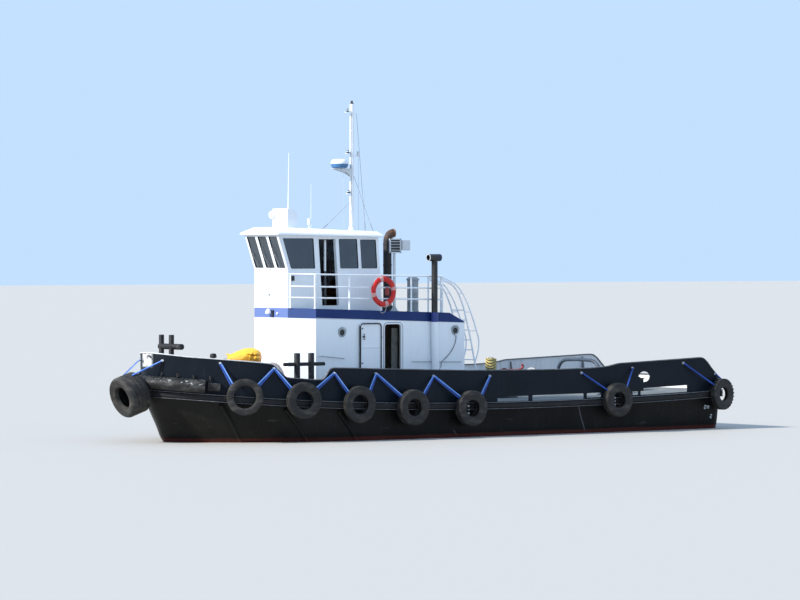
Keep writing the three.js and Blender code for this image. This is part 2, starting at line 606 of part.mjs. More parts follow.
// Side windows and doorway, one row each: X aft and forward at sill height, bottom, top.
const SIDE_WINDOWS = [[3740, 4530], [2340, 2960], [1730, 2270]];
const CABIN_DOORWAY = { x0: 3035, x1: 3610, z0: 3440, z1: 5200 };
function cabinSide(withDoor) {
  const front = HOUSE_FRONT - PLATE - SEAM;
  const aft = CABIN_AFT + PLATE + SEAM;
  const headX = front + RAKE * (cabinHead(HOUSE_FRONT) - SILL_Z) / (cabinHead(HOUSE_FRONT) - SILL_Z + 20);
  const shell = prismY([
    [front, cabinFoot(front)], [front, SILL_Z], [headX, cabinHead(headX)],
    [lean(aft, cabinHead(aft)), cabinHead(aft)], [lean(aft, cabinFoot(aft)), cabinFoot(aft)],
  ], CABIN_HALF - PLATE, CABIN_HALF);
  const opening = (x0, x1, z0, z1, foreTop = lean(x1, z1)) => prismY([
    [lean(x0, z0), z0], [lean(x1, z0), z0], [foreTop, z1], [lean(x0, z1), z1],
  ], CABIN_HALF - 2 * PLATE, CABIN_HALF + PLATE);
  const cuts = SIDE_WINDOWS.map(([x0, x1], i) => {
    const foreTop = i ? undefined : x1 + 275;
    return opening(x0, x1, SILL_Z + 5, 5215 - 15 * i, foreTop);
  });
  const { x0, x1, z0, z1 } = CABIN_DOORWAY;
  if (withDoor) cuts.push(opening(x0, x1, z0, z1));
  else cuts.push(opening(x0, x1, SILL_Z + 5, z1));
  return cut(shell, cuts);
}
function cabinAft() {
  const foot = cabinFoot(CABIN_AFT + PLATE);
  const head = cabinHead(CABIN_AFT);
  const shell = prismY([
    [lean(CABIN_AFT, foot), foot], [lean(CABIN_AFT, head), head],
    [lean(CABIN_AFT + PLATE, head), head], [lean(CABIN_AFT + PLATE, foot), foot],
  ], -CABIN_HALF, CABIN_HALF);
  return shell.subtract(block([CABIN_AFT - 200, CABIN_AFT + 300], [-520, 520], [SILL_Z + 50, 5120]));
}
// A track under the roof carries the sliding door.
const DOOR_T = 35;
const DOOR_Y = CABIN_HALF - PLATE - 8;
const DOOR_TRAVEL = 640;
const DOOR_HEAD = 5205;
function sloped(points, z0) {
  return points.map(([x, z]) => [x, z + z0 - HOUSE_FALL * (CABIN_DOORWAY.x1 - x)]);
}
const TRACK_TOP = 30;
const track = prismY(sloped([[2300, 0], [4150, 0], [4150, TRACK_TOP], [2300, TRACK_TOP]], DOOR_HEAD + SEAM),
  DOOR_Y - DOOR_T - 5, CABIN_HALF - PLATE + 5);
add('wheelhouse_front', cabinFront(), WHITE_PAINT);
add('wheelhouse_port', cabinSide(true).add(track), WHITE_PAINT);
add('wheelhouse_starboard', mirrored(cabinSide(false)), WHITE_PAINT);
add('wheelhouse_aft', cabinAft(), WHITE_PAINT);
function slidingDoor() {
  const foot = 3390;
  const tall = DOOR_HEAD - foot;
  const width = 640;
  const aft = CABIN_DOORWAY.x0 - DOOR_TRAVEL + 15;
  const corner = (x, h) => [x + LEAN * (foot + h - SILL_Z), h];
  const edges = [corner(aft, 0), corner(aft + width, 0), corner(aft + width, tall), corner(aft, tall)];
  const panel = prismY(sloped(edges, foot), DOOR_Y - DOOR_T, DOOR_Y);
  const pane = prismY(sloped([corner(aft + 90, 1050), corner(aft + width - 90, 1050),
    corner(aft + width - 90, tall - 110), corner(aft + 90, tall - 110)], foot), 0, 1000);
  return panel.subtract(pane);
}
add('wheelhouse_door', slidingDoor(), WHITE_PAINT);

// The roof's sides and front visor slope down from its flat to a thin edge.
function roofSolid() {
  const ring = (front, aft, half, height) => [
    [front, -half, height(front)], [front, half, height(front)],
    [aft, half, height(aft)], [aft, -half, height(aft)],
  ];
  return loft([
    ring(ROOF.front, ROOF.aft, ROOF.half, roofUnder),
    ring(ROOF.front, ROOF.aft, ROOF.half, (x) => roofUnder(x) + ROOF.edge),
    ring(ROOF.topFront, ROOF.topAft, ROOF.topHalf, roofTop),
  ]);
}
add('wheelhouse_roof', roofSolid(), WHITE_PAINT);

// On the roof: a casing with a searchlight and whip aerial, and the mast with its lamps, stays and radar.
const CASING = { aft: 4008, front: 4338, half: 345, top: 5978, cutX: 210, cutZ: 118 };
const SEARCHLIGHT = { z: 5820, y: -310, r: 100, depth: 75 };
const WHIP = { x: CASING.front - 50, y: CASING.half - 40, top: 7420, r: 22, tipR: 9 };
function casingSolid() {
  const { aft, front, half, top, cutX, cutZ } = CASING;
  const foot = roofTop(aft) - 20;
  const box = prismY([[front, foot], [front, top - 20], [front - 20, top],
    [aft + cutX, top], [aft, top - cutZ], [aft, foot]], -half, half);
  const { y, z, r, depth } = SEARCHLIGHT;
  const lamp = rod([front - 20, y, z], [front + depth, y, z], r, 12);
  const whip = rod([WHIP.x, WHIP.y, top - 20], [WHIP.x - 20, WHIP.y, WHIP.top], WHIP.r, 6, WHIP.tipR);
  return onRoof(join([box, lamp, whip]));
}
add('roof_casing', casingSolid(), WHITE_PAINT);

const MAST = { x: 2020, foot: roofTop(2020) - 20, top: 8750 };
const STAY_R = 8;
function mastSolid() {
  const { x, foot, top } = MAST;
  const parts = [
    rod([x, 0, foot], [x, 0, foot + 180], 105, 10, 66),
    rod([x, 0, foot + 100], [x, 0, top], 60, 10, 52),
    rod([x, 0, top - 40], [x, 0, top + 90], 28, 8),
    rod([x, 0, 8560], [x + 150, 0, 8560], 30, 6),
    rod([x + 150, 0, 8510], [x + 150, 0, 8600], 42, 8),
    rod([x, 0, 7470], [x + 130, 0, 7470], 24, 6),
    rod([x + 130, 0, 7430], [x + 130, 0, 7530], 42, 8),
    rod([x, 0, 6420], [x + 110, 0, 6420], 24, 6),
    rod([x + 110, 0, 6380], [x + 110, 0, 6480], 40, 8),
    rod([x, 0, 7380], [x - 260, 0, 7380], 26, 6),
    rod([x - 190, 0, 7380], [x - 190, 0, 7480], 30, 8),
    prismY([[x + 30, 6830], [x + 30, 7050], [x + 620, 7050], [x + 620, 7020], [x + 200, 7000]], -25, 25),
  ];
  const stays = [
    [[x, 0, 8600], [1790, 470, foot]],
    [[x, 0, 8600], [1790, -470, foot]],
    [[x, 0, 6200], [2990, 0, foot]],
    [[x, 0, 6050], [1780, 0, foot]],
  ];
  for (const [high, low] of stays) parts.push(rod(high, low, STAY_R, 5));
  return onRoof(join(parts));
}
add('mast', mastSolid(), WHITE_PAINT);

const RADAR = { x: MAST.x + 400, z: 7050 + SEAM };
function radarSolid() {
  const profile = [[0, 0], [200, 0], [230, 60], [230, 150], [190, 220], [0, 245]];
  const dome = new THREE.LatheGeometry(profile.map(([r, h]) => new THREE.Vector2(r, h)), 20);
  dome.rotateX(Math.PI / 2);
  dome.translate(RADAR.x, 0, RADAR.z);
  return toSolid(dome);
}
add('radar_dome', radarSolid(), WHITE_PAINT);

// On the deckhouse top, aft of the wheelhouse: floodlight post, exhaust stack and a vent drum.
function floodlightSolid() {
  const [x, y] = [1150, 700];
  const foot = houseTop(x) - 10;
  const fins = [4880, 4958, 5036, 5114].map((z) => block([x - 160, x + 110], [y + 55, y + 95], [z, z + 35]));
  return onHouse(join([
    rod([x, y, foot], [x, y, 4850], 42, 10),
    rod([x, y, foot], [x, y, foot + 35], 110, 10),
    block([x - 60, x + 190], [y - 60, y + 60], [4830, 5190]),
    block([x - 175, x - 60], [y - 60, y + 60], [4830, 5190]),
    ...fins,
    block([x - 470, x - 210], [y - 80, y + 80], [4890, 5160]),
    rod([x - 220, y, 5020], [x - 150, y, 5020], 30, 8),
  ]));
}
add('floodlight_post', floodlightSolid(), GALVANISED);

function stackSolid() {
  const [x, y] = [850, 0];
  const foot = houseTop(x) - 20;
  return onHouse(join([
    rod([x, y, foot], [x, y, foot + 140], 200, 12, 150),
    tube([[x, y, foot + 60], [x, y, 4300], [x, y, 5060], [x - 30, y, 5230], [x - 100, y, 5320],
      [x - 200, y, 5350]], 115, 12, 10),
  ]));
}
add('exhaust_stack', stackSolid(), BLACK_PAINT);

function ventDrumSolid() {
  const [x, y] = [310, 400];
  const foot = houseTop(x) - 20;
  const drum = rod([x, y, foot], [x, y, 4120], 150, 14);
  const cap = rod([x, y, 4080], [x, y, 4180], 175, 14, 120);
  return onHouse(join([drum, cap]));
}
add('vent_drum', ventDrumSolid(), GREY_PAINT);

// Side pipe against the port wall, past the band and up to a sideways head.
const PIPE = { footX: 282, x: 326, r: 98, upperR: 82, top: 4740 };
function sidePipeSolid() {
  const y = HOUSE_HALF + PIPE.r + 4;
  const z0 = sheer(PIPE.x) - 20;
  return onDeck(join([
    rod([PIPE.footX, y, z0], [PIPE.x, y, houseTop(PIPE.x)], PIPE.r, 14),
    rod([PIPE.x, y, houseTop(PIPE.x) - 20], [PIPE.x, y, PIPE.top], PIPE.upperR, 14),
    rod([PIPE.x - 190, y, 4700], [PIPE.x + 210, y, 4700], 95, 14),
    block([PIPE.x - 40, PIPE.x + 40], [HOUSE_HALF + SEAM, y], [2500, 2560]),
    block([PIPE.x - 40, PIPE.x + 40], [HOUSE_HALF + SEAM, y], [1500, 1560]),
  ]));
}
add('side_pipe', sidePipeSolid(), BLACK_PAINT);

// Guard rails: three bars on stanchions along the chamfer and the side of the deckhouse top.
const RAIL_Y = HOUSE_HALF - 40;
const RAIL_HEIGHTS = [[880, 955], [560, 640], [270, 345]];   // above the top: at the front, at the aft end
const RAIL_END = -40;
const RAIL_SIDES = 5;
const STANCHIONS = [4100, 3000, 2000, 990, RAIL_END];
function railSolid() {
  const start = [HOUSE_FRONT - 30, CABIN_HALF + RAIL_R + SEAM];
  const knee = [HOUSE_FRONT - CHAMFER - 10, RAIL_Y];
  const parts = [];
  for (const [front, aft] of RAIL_HEIGHTS) {
    const at = (x) => houseTop(x) + front + (aft - front) * (HOUSE_FRONT - x) / (HOUSE_FRONT - RAIL_END);
    parts.push(
      rod([...start, at(start[0])], [...knee, at(knee[0])], RAIL_R, RAIL_SIDES),
      rod([knee[0] + 12, knee[1], at(knee[0])], [RAIL_END - 20, RAIL_Y, at(RAIL_END)], RAIL_R, RAIL_SIDES),
    );
  }
  for (const x of STANCHIONS) {
    const foot = houseTop(x) - 10;
    const top = houseTop(x) + 880 + 75 * (HOUSE_FRONT - x) / (HOUSE_FRONT - RAIL_END);
    parts.push(rod([x, RAIL_Y, foot], [x, RAIL_Y, top], RAIL_R + 2, RAIL_SIDES));
  }
  parts.push(rod([start[0] - 25, start[1] + 20, houseTop(start[0]) - 10],
    [start[0] - 25, start[1] + 20, houseTop(start[0]) + 890], RAIL_R, RAIL_SIDES));
  return onHouse(join(parts));
}
const rail = railSolid();
add('guard_rail_port', rail, GALVANISED);
add('guard_rail_starboard', mirrored(rail), GALVANISED);

// Aft ladder: two stringers that curve over at the head into handrails, with rungs between.
const LADDER_Y = [475, 1025];
const LADDER_R = 22;
const LADDER_FOOT = SHEER_LOW_Z - 20;
function ladderSolid() {
  const parts = [];
  for (const y of LADDER_Y) {
    parts.push(tube([[-1560, y, LADDER_FOOT], [-1310, y, 1820], [-1140, y, 2560], [-1010, y, 3020],
      [-860, y, 3500], [-590, y, 3930], [-150, y, 4130]], LADDER_R, 13, 5));
    parts.push(tube([[-1290, y, 1900], [-1400, y, 2200], [-1420, y, 2510], [-1320, y, 2820], [-1200, y, 3130],
      [-1010, y, 3530], [-760, y, 3890], [-520, y, 4050], [-80, y, 4210]], LADDER_R, 14, 5));
    parts.push(onHouse(rod([-150, y, houseTop(-150) - 10], [-150, y, 4215], LADDER_R, 6)));
  }
  for (let i = 0; i < 9; i += 1) {
    const z = 1180 + i * 265;
    const x = z < 1820 ? -1310 - 0.275 * (1820 - z) : -1310 + 0.24 * (z - 1820);
    parts.push(rod([x, LADDER_Y[0], z], [x, LADDER_Y[1], z], 16, 5));
  }
  return onDeck(join(parts));
}
add('aft_ladder', ladderSolid(), GALVANISED);

// Life ring, hung on the outside of the port rail.
const RING = { x: 1950, z: 3815, major: 328, thick: 72, half: 52 };
function lifeRingSolid() {
  const profile = [];
  for (let i = 0; i < 6; i += 1) {
    const turn = -2 * Math.PI * (i + 0.5) / 6;
    profile.push([RING.major + RING.thick * Math.cos(turn), RING.half * Math.sin(turn)]);
  }
  const y = RAIL_Y + RAIL_R * Math.sin(2 * Math.PI / RAIL_SIDES) + SEAM + RING.half;
  return turned(profile, 20, new THREE.Matrix4().makeTranslation(RING.x, y, RING.z));
}
add('life_ring', lifeRingSolid(), ORANGE);

// Bitts: two posts through a crossbar, on a foot plate.
// x, y: middle of the posts; gap: between their axes; bar: the crossbar's reach each way from the middle.
const FOOT_PLATE = { half: 160, t: 35 };
function bitt({ x, y, tall, postR, gap, bar, barHeight, barR, across }) {
  const foot = sheer(x) - 60;
  const deck = sheer(x);
  const at = (d, z) => (across ? [x, y + d, z] : [x + d, y, z]);
  const posts = [-gap / 2, gap / 2].map((d) => rod(at(d, foot), at(d, deck + tall), postR, 10));
  const crossbar = rod(at(bar[0], deck + barHeight), at(bar[1], deck + barHeight), barR, 10);
  const [halfX, halfY] = across ? [FOOT_PLATE.half, gap] : [gap, FOOT_PLATE.half];
  const plate = block([x - halfX, x + halfX], [y - halfY, y + halfY], [foot, deck + FOOT_PLATE.t]);
  return onDeck(join([...posts, crossbar, plate]));
}
const FOREDECK_BITT = {
  x: 7770, y: -166, tall: 1470, postR: 68, gap: 458, bar: [-307, 716], barHeight: 1170, barR: 75,
  across: true,
};
const PORT_BITT = {
  x: 4940, y: 1930, tall: 1214, postR: 78, gap: 442, bar: [-640, 640], barHeight: 928, barR: 48,
};
const STARBOARD_BITT = { ...PORT_BITT, tall: 980, barHeight: 700 };
add('foredeck_bitt', bitt(FOREDECK_BITT), BLACK_PAINT);
add('port_bitt', bitt(PORT_BITT), BLACK_PAINT);
add('starboard_bitt', mirrored(bitt(STARBOARD_BITT)), BLACK_PAINT);

// Foredeck: a windlass under a yellow cover, and a vent.
// The cover's girths, one row each: height, half length along X, half width along Y, middle in X.
const COVER_X = 5460;
const COVER_GIRTHS = [
  [sheer(COVER_X) - 50, 380, 420, COVER_X],
  [1800, 420, 450, COVER_X],
  [2100, 475, 500, COVER_X],
  [2215, 450, 470, COVER_X - 15],
  [2300, 300, 360, COVER_X - 95],
  [2365, 130, 180, COVER_X - 140],
];
const COVER_SIDES = 12;
function coverSolid() {
  return onDeck(loft(COVER_GIRTHS.map(([z, halfX, halfY, middle]) => {
    const ring = [];
    for (let i = 0; i < COVER_SIDES; i += 1) {
      const turn = 2 * Math.PI * i / COVER_SIDES;
      ring.push([middle + halfX * Math.cos(turn), halfY * Math.sin(turn), z]);
    }
    return ring;
  })));
}
add('windlass_cover', coverSolid(), YELLOW);

function ventSolid() {
  const [x, y] = [7050, 900];
  const foot = sheer(x) - 30;
  const pipe = rod([x, y, foot], [x, y, foot + 1030], 55, 10);
  const hood = rod([x, y, foot + 990], [x, y, foot + 1100], 90, 12, 70);
  return onDeck(join([pipe, hood]));
}
add('foredeck_vent', ventSolid(), BLACK_PAINT);

// Aft deck: tow post with a swinging hook, tow arch, mooring line coil on its bollard, and a hatch.
const POST = { x: -3100, r: 110, head: 760 };
const postFoot = sheer(POST.x) - 20;
const HOOK_Z = postFoot + POST.head;
function towPostSolid() {
  return onDeck(join([
    block([POST.x - 260, POST.x + 260], [-260, 260], [postFoot, postFoot + 55]),
    rod([POST.x, 0, postFoot + 10], [POST.x, 0, HOOK_Z - 40], POST.r, 14),
    prismY([[POST.x + 250, postFoot + 20], [POST.x + 60, postFoot + 600], [POST.x + 60, postFoot + 20]],
      -20, 20),
    rod([POST.x, 0, HOOK_Z - 80], [POST.x, 0, HOOK_Z + 62], 45, 12),
  ]));
}
add('tow_post', towPostSolid(), BLACK_PAINT);
function towHookSolid() {
  const eye = turned([[51, 0], [110, 0], [110, 80], [51, 80]], 16,
    new THREE.Matrix4().makeRotationX(Math.PI / 2).setPosition(POST.x, 0, HOOK_Z - 40 + SEAM));
  const shank = block([POST.x - 420, POST.x - 90], [-32, 32], [HOOK_Z - 30, HOOK_Z + 30]);
  const bill = prismY([[POST.x - 400, HOOK_Z - 30], [POST.x - 400, HOOK_Z + 30], [POST.x - 520, HOOK_Z + 40],
    [POST.x - 600, HOOK_Z + 110], [POST.x - 570, HOOK_Z + 170], [POST.x - 650, HOOK_Z + 160],
    [POST.x - 690, HOOK_Z + 60], [POST.x - 600, HOOK_Z - 40]], -32, 32);
  return join([eye, shank, bill]);
}
add('tow_hook', towHookSolid(), RED_PAINT);

const ARCH = { x: -5700, half: 930, top: 1885, r: 48 };
function towArchSolid() {
  const foot = sheer(ARCH.x) - 30;
  const side = [[ARCH.half, foot], [ARCH.half - 10, foot + 350], [ARCH.half - 60, ARCH.top - 230],
    [ARCH.half - 260, ARCH.top - 45], [ARCH.half - 620, ARCH.top]];
  const points = side.map(([y, z]) => [ARCH.x, y, z]);
  points.push(...[...points].reverse().map(starboard));
  return onDeck(tube(points, ARCH.r, 22, 8));
}
add('tow_arch', towArchSolid(), BLACK_PAINT);

// The mooring line's coil hangs on its post, on a crossbar.
const BOLLARD = { x: -2640, r: 75, top: 1990 };
const COIL = { z: 1815, r: 185, half: 170 };
const COIL_BAR = { r: 28, half: 220 };
function coilStandSolid() {
  const foot = sheer(BOLLARD.x) - 20;
  const barZ = COIL.z - COIL.half - COIL_BAR.r - SEAM;
  return onDeck(join([
    rod([BOLLARD.x, 0, foot], [BOLLARD.x, 0, BOLLARD.top], BOLLARD.r, 12),
    rod([BOLLARD.x, 0, foot], [BOLLARD.x, 0, foot + 50], 170, 12),
    rod([BOLLARD.x, -COIL_BAR.half, barZ], [BOLLARD.x, COIL_BAR.half, barZ], COIL_BAR.r, 8),
  ]));
}
add('coil_post', coilStandSolid(), BLACK_PAINT);
function coilSolid() {
  const segments = 16;
  const inner = (BOLLARD.r + SEAM) / Math.cos(Math.PI / segments);
  const { z, r, half } = COIL;
  const profile = [[inner, -half], [r - 35, -half], [r, -half / 2], [r, half / 2], [r - 35, half], [inner, half]];
  return turned(profile, segments, new THREE.Matrix4().makeRotationX(Math.PI / 2).setPosition(BOLLARD.x, 0, z));
}
add('rope_coil', coilSolid(), ROPE);

function hatchLidSolid() {
  const z0 = HATCH_TOP + SEAM;
  const lid = block([HATCH.x0 - 25, HATCH.x1 + 15], [-HATCH.half - 25, HATCH.half + 25], [z0, z0 + 45]);
  const barrels = HATCH.pinY.map((y) => join([
    rod([HATCH_PIN.x, y - 40, HATCH_PIN.z], [HATCH_PIN.x, y + 40, HATCH_PIN.z], HATCH.pinR - SEAM, 10),
    block([HATCH.x1, HATCH_PIN.x], [y - 40, y + 40], [z0 + 5, z0 + 40]),
  ]));
  return join([lid, ...barrels]);
}
add('hatch_lid', hatchLidSolid(), BLACK_PAINT);

// Tyre fenders: each hangs on two webbing straps from eyes near the bulwark's top.
// Place, one row each: X on the deck edge, height of its middle, size factor, width, X forward and aft of the
// strap eyes, and their heights.
const SIDE_TYRES = [
  { x: 6750, z: 1180, size: 1.0, width: 130, eyes: [[7290, 2030], [6080, 1900]] },
  { x: 5360, z: 1080, size: 1.0, width: 160, eyes: [[6030, 1890], [4470, 1755]] },
  { x: 3756, z: 945, size: 1.02, width: 150, eyes: [[4370, 1755], [3140, 1715]] },
  { x: 2050, z: 830, size: 1.0, width: 240, eyes: [[3060, 1715], [1240, 1620]] },
  { x: 151, z: 767, size: 1.0, width: 210, eyes: [[1160, 1620], [-646, 1590]] },
  { x: -4840, z: 877, size: 0.98, width: 220, eyes: [[-3740, 1616], [-5565, 1713]] },
  { x: -8670, z: 945, size: 0.92, width: 160, eyes: [[-7400, 1818], [-8585, 1500]] },
];
const TYRE_PROFILE = [[0.52, -0.6], [0.78, -1], [1, -0.55], [1, 0.55], [0.78, 1], [0.52, 0.6]];
const STRAP_W = 50;
const STRAP_T = 10;
function tyreRing(centre, heading, dip, radius, width) {
  const turn = new THREE.Matrix4().makeRotationZ(heading)
    .multiply(new THREE.Matrix4().makeRotationX(-dip));
  turn.setPosition(...centre);
  return turned(TYRE_PROFILE.map(([r, w]) => [r * radius, w * width / 2]), 16, turn);
}
// A flat strap between two points; out is the way its broad side faces.
function strap(from, to, out) {
  const along = point(to).sub(point(from));
  const length = along.length();
  along.normalize();
  const side = new THREE.Vector3().crossVectors(along, out).normalize();
  const face = new THREE.Vector3().crossVectors(side, along).normalize();
  const geometry = new THREE.BoxGeometry(STRAP_W, STRAP_T, length);
  const middle = point(from).add(point(to)).multiplyScalar(0.5);
  geometry.applyMatrix4(new THREE.Matrix4().makeBasis(side, face, along).setPosition(middle));
  return outward(mergeVertices(geometry.deleteAttribute('normal').deleteAttribute('uv'), 0.001));
}
function normalAt(x) {
  const i = deckEdge.findIndex((p) => p[0] <= x);
  const [a, b] = [deckEdge[i - 1], deckEdge[i]];
  const along = new THREE.Vector2(b[0] - a[0], b[1] - a[1]).normalize();
  return new THREE.Vector3(along.y, -along.x, 0);
}
const TYRE_CLEAR = 12;          // a tyre's back off the rubbing belt
function sideTyre({ x, z, size, width, eyes }) {
  const normal = normalAt(x);
  const [px, py] = onLevel(deckEdge, x);
  const standOff = BELT_OUT + TYRE_CLEAR + width / 2;
  const centre = new THREE.Vector3(px, py, z).addScaledVector(normal, standOff);
  const heading = Math.atan2(-normal.x, normal.y);
  const radius = TYRE_R * size;
  const along = new THREE.Vector3(normal.y, -normal.x, 0);
  const parts = [tyreRing(centre.toArray(), heading, 0, radius, width)];
  for (const [i, [eyeX, eyeZ]] of eyes.entries()) {
    const way = i === 0 ? 1 : -1;
    const [ex, ey] = onLevel(deckEdge, eyeX);
    const out = normalAt(eyeX);
    const eye = new THREE.Vector3(ex, ey, eyeZ).addScaledVector(out, STRAP_T + 8);
    const grip = centre.clone().addScaledVector(along, way * 0.62 * radius);
    grip.z += 0.5 * radius;
    parts.push(strap(eye.toArray(), grip.toArray(), normal));
    parts.push(rod(eye.clone().addScaledVector(out, -STRAP_T - 8 + 2 * SEAM).toArray(),
      eye.clone().addScaledVector(out, 14).toArray(), 26, 5));
  }
  return join(parts);
}
SIDE_TYRES.forEach((place, i) => {
  const solid = sideTyre(place);
  add(`tyre_port_${i + 1}`, solid, RUBBER);
  add(`tyre_starboard_${i + 1}`, mirrored(solid), RUBBER);
});

// The bow tyre: larger and wider, facing ahead and tipped down, its back against the fender.
const BOW_TYRE = { x: 8990, z: 1226, r: 540, w: 600, dip: 0.33, eyeX: 8420, eyeZ: 2060, strapY: 330 };
function bowTyreSolid() {
  const { x, z, r, w, dip, eyeX, eyeZ, strapY } = BOW_TYRE;
  const parts = [tyreRing([x, 0, z], -Math.PI / 2, dip, r, w)];
  const [ex, ey] = onLevel(deckEdge, eyeX);
  const out = normalAt(eyeX);
  const from = new THREE.Vector3(ex, ey, eyeZ);
  const crown = r * Math.sqrt(1 - (strapY / r) ** 2);
  const overX = x + crown * Math.sin(dip);
  const overZ = z + crown * Math.cos(dip);
  for (const side of [1, -1]) {
    const at = (d) => from.clone().addScaledVector(out, d).multiply(new THREE.Vector3(1, side, 1)).toArray();
    const grip = [overX, side * strapY, overZ - 40];
    parts.push(strap(at(STRAP_T + 12), grip, new THREE.Vector3(1, 0, 1)));
    parts.push(rod(at(2 * SEAM), at(STRAP_T + 30), 26, 6));
  }
  return join(parts);
}
add('tyre_bow', bowTyreSolid(), RUBBER);

export default tug;
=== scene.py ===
"""The finished look of a small steel harbour tug, built round its frame.

Metres throughout: +X to the bow, +Y to port, +Z up, origin on the waterline amidships.
"""
import math

import bmesh
import bpy
from mathutils import Matrix, Vector, noise


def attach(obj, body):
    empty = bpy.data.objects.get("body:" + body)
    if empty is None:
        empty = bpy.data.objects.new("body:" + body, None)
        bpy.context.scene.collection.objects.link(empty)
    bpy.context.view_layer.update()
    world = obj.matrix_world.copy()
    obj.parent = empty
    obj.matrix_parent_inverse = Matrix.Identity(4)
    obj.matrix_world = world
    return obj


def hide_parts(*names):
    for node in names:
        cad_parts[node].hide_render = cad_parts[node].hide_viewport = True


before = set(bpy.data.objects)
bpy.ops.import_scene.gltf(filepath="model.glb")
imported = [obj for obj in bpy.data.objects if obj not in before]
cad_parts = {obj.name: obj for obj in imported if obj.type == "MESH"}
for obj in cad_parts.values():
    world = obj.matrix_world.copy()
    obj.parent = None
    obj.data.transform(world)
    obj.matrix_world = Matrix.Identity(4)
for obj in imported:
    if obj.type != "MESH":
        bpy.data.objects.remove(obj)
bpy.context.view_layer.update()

X, Y, Z = Vector((1, 0, 0)), Vector((0, 1, 0)), Vector((0, 0, 1))
BOTH = (("port", 1), ("starboard", -1))

# Driving sizes of the hull and the houses, the same as the frame's.
STEM_X, TRANSOM_X = 8.5, -8.95
SHEER_LOW_X, SHEER_LOW_Z = -1.5, 0.89
RUN_X = -2.5
HOUSE_HALF, CABIN_HALF = 1.275, 0.755
HOUSE_FRONT, HOUSE_AFT, CABIN_AFT, CHAMFER = 4.62, -0.75, 1.65, 0.52
WALL = 0.05
SILL_Z, RAKE, LEAN = 4.4, 0.315, 0.07
HOUSE_SLOPE, ROOF_SLOPE = 0.0325, 0.018           # how the tops of the two houses fall toward the stern
ROOF = dict(front=5.01, aft=1.6, half=0.87, edge=0.045, top_front=4.72, top_aft=1.66, top_half=0.65)


def sheer(x):
    u = x - SHEER_LOW_X
    return SHEER_LOW_Z + (0.0035 * u * u + 0.00001 * u ** 4 if u > 0 else 0.003 * u * u)


def house_top(x):
    return 3.4 - HOUSE_SLOPE * (HOUSE_FRONT - x)


def roof_under(x):
    return 5.29 - ROOF_SLOPE * (HOUSE_FRONT - x)


def roof_top(x):
    fore, aft = ROOF["top_front"], ROOF["top_aft"]
    return roof_under(x) + 0.2 - 0.05 * (fore - x) / (fore - aft)


def lean(x, z):
    return x + LEAN * (z - SILL_Z)


# Camera: far off the port bow through a long lens, a little above the rail.
IMAGE_W, IMAGE_H = 800, 600
FOCAL_PX = 4125
EYE = Vector((66.198, 87.846, 4.9))
LOOK = Vector((-0.6018, -0.7986, 0))
ACROSS = Vector((-0.7986, 0.6018, 0))
ORIGIN_PX, HORIZON_PX = 413, 250      # where the origin's column and the horizon lie in the picture


def add_camera():
    data = bpy.data.cameras.new("camera")
    data.lens = FOCAL_PX / IMAGE_W * data.sensor_width
    data.clip_end = 1000
    camera = bpy.data.objects.new("camera", data)
    bpy.context.scene.collection.objects.link(camera)
    middle = (IMAGE_W / 2 - ORIGIN_PX) / FOCAL_PX * ACROSS - (IMAGE_H / 2 - HORIZON_PX) / FOCAL_PX * Z
    camera.location = EYE
    camera.rotation_mode = "QUATERNION"
    camera.rotation_quaternion = (LOOK + middle).to_track_quat("-Z", "Y")
    bpy.context.scene.camera = camera


add_camera()


# Finishes.
class Value:
    """A shader socket that takes Python arithmetic."""

    def __init__(self, finish, socket):
        self.finish = finish
        self.socket = socket

    def math(self, operation, *others):
        inputs = dict(enumerate((self, *others)))
        return self.finish.node("ShaderNodeMath", {"operation": operation}, inputs)

    def __add__(self, other):
        return self.math("ADD", other)

    __radd__ = __add__

    def __sub__(self, other):
        return self.math("SUBTRACT", other)

    def __rsub__(self, other):
        return self.finish.node("ShaderNodeMath", {"operation": "SUBTRACT"}, {0: other, 1: self})

    def __mul__(self, other):
        return self.math("MULTIPLY", other)

    __rmul__ = __mul__

    def __pow__(self, other):
        return self.math("POWER", other)

    def between(self, low, high):
        """0 below low, 1 above high and smooth between; low may be the higher one."""
        inputs = {"Value": self, "From Min": low, "From Max": high}
        return self.finish.node("ShaderNodeMapRange", {"interpolation_type": "SMOOTHSTEP"}, inputs)

    def wave(self, turns):
        """Waves of so many turns a metre, from 0 to 1."""
        return (self * (2 * math.pi * turns)).math("SINE") * 0.5 + 0.5


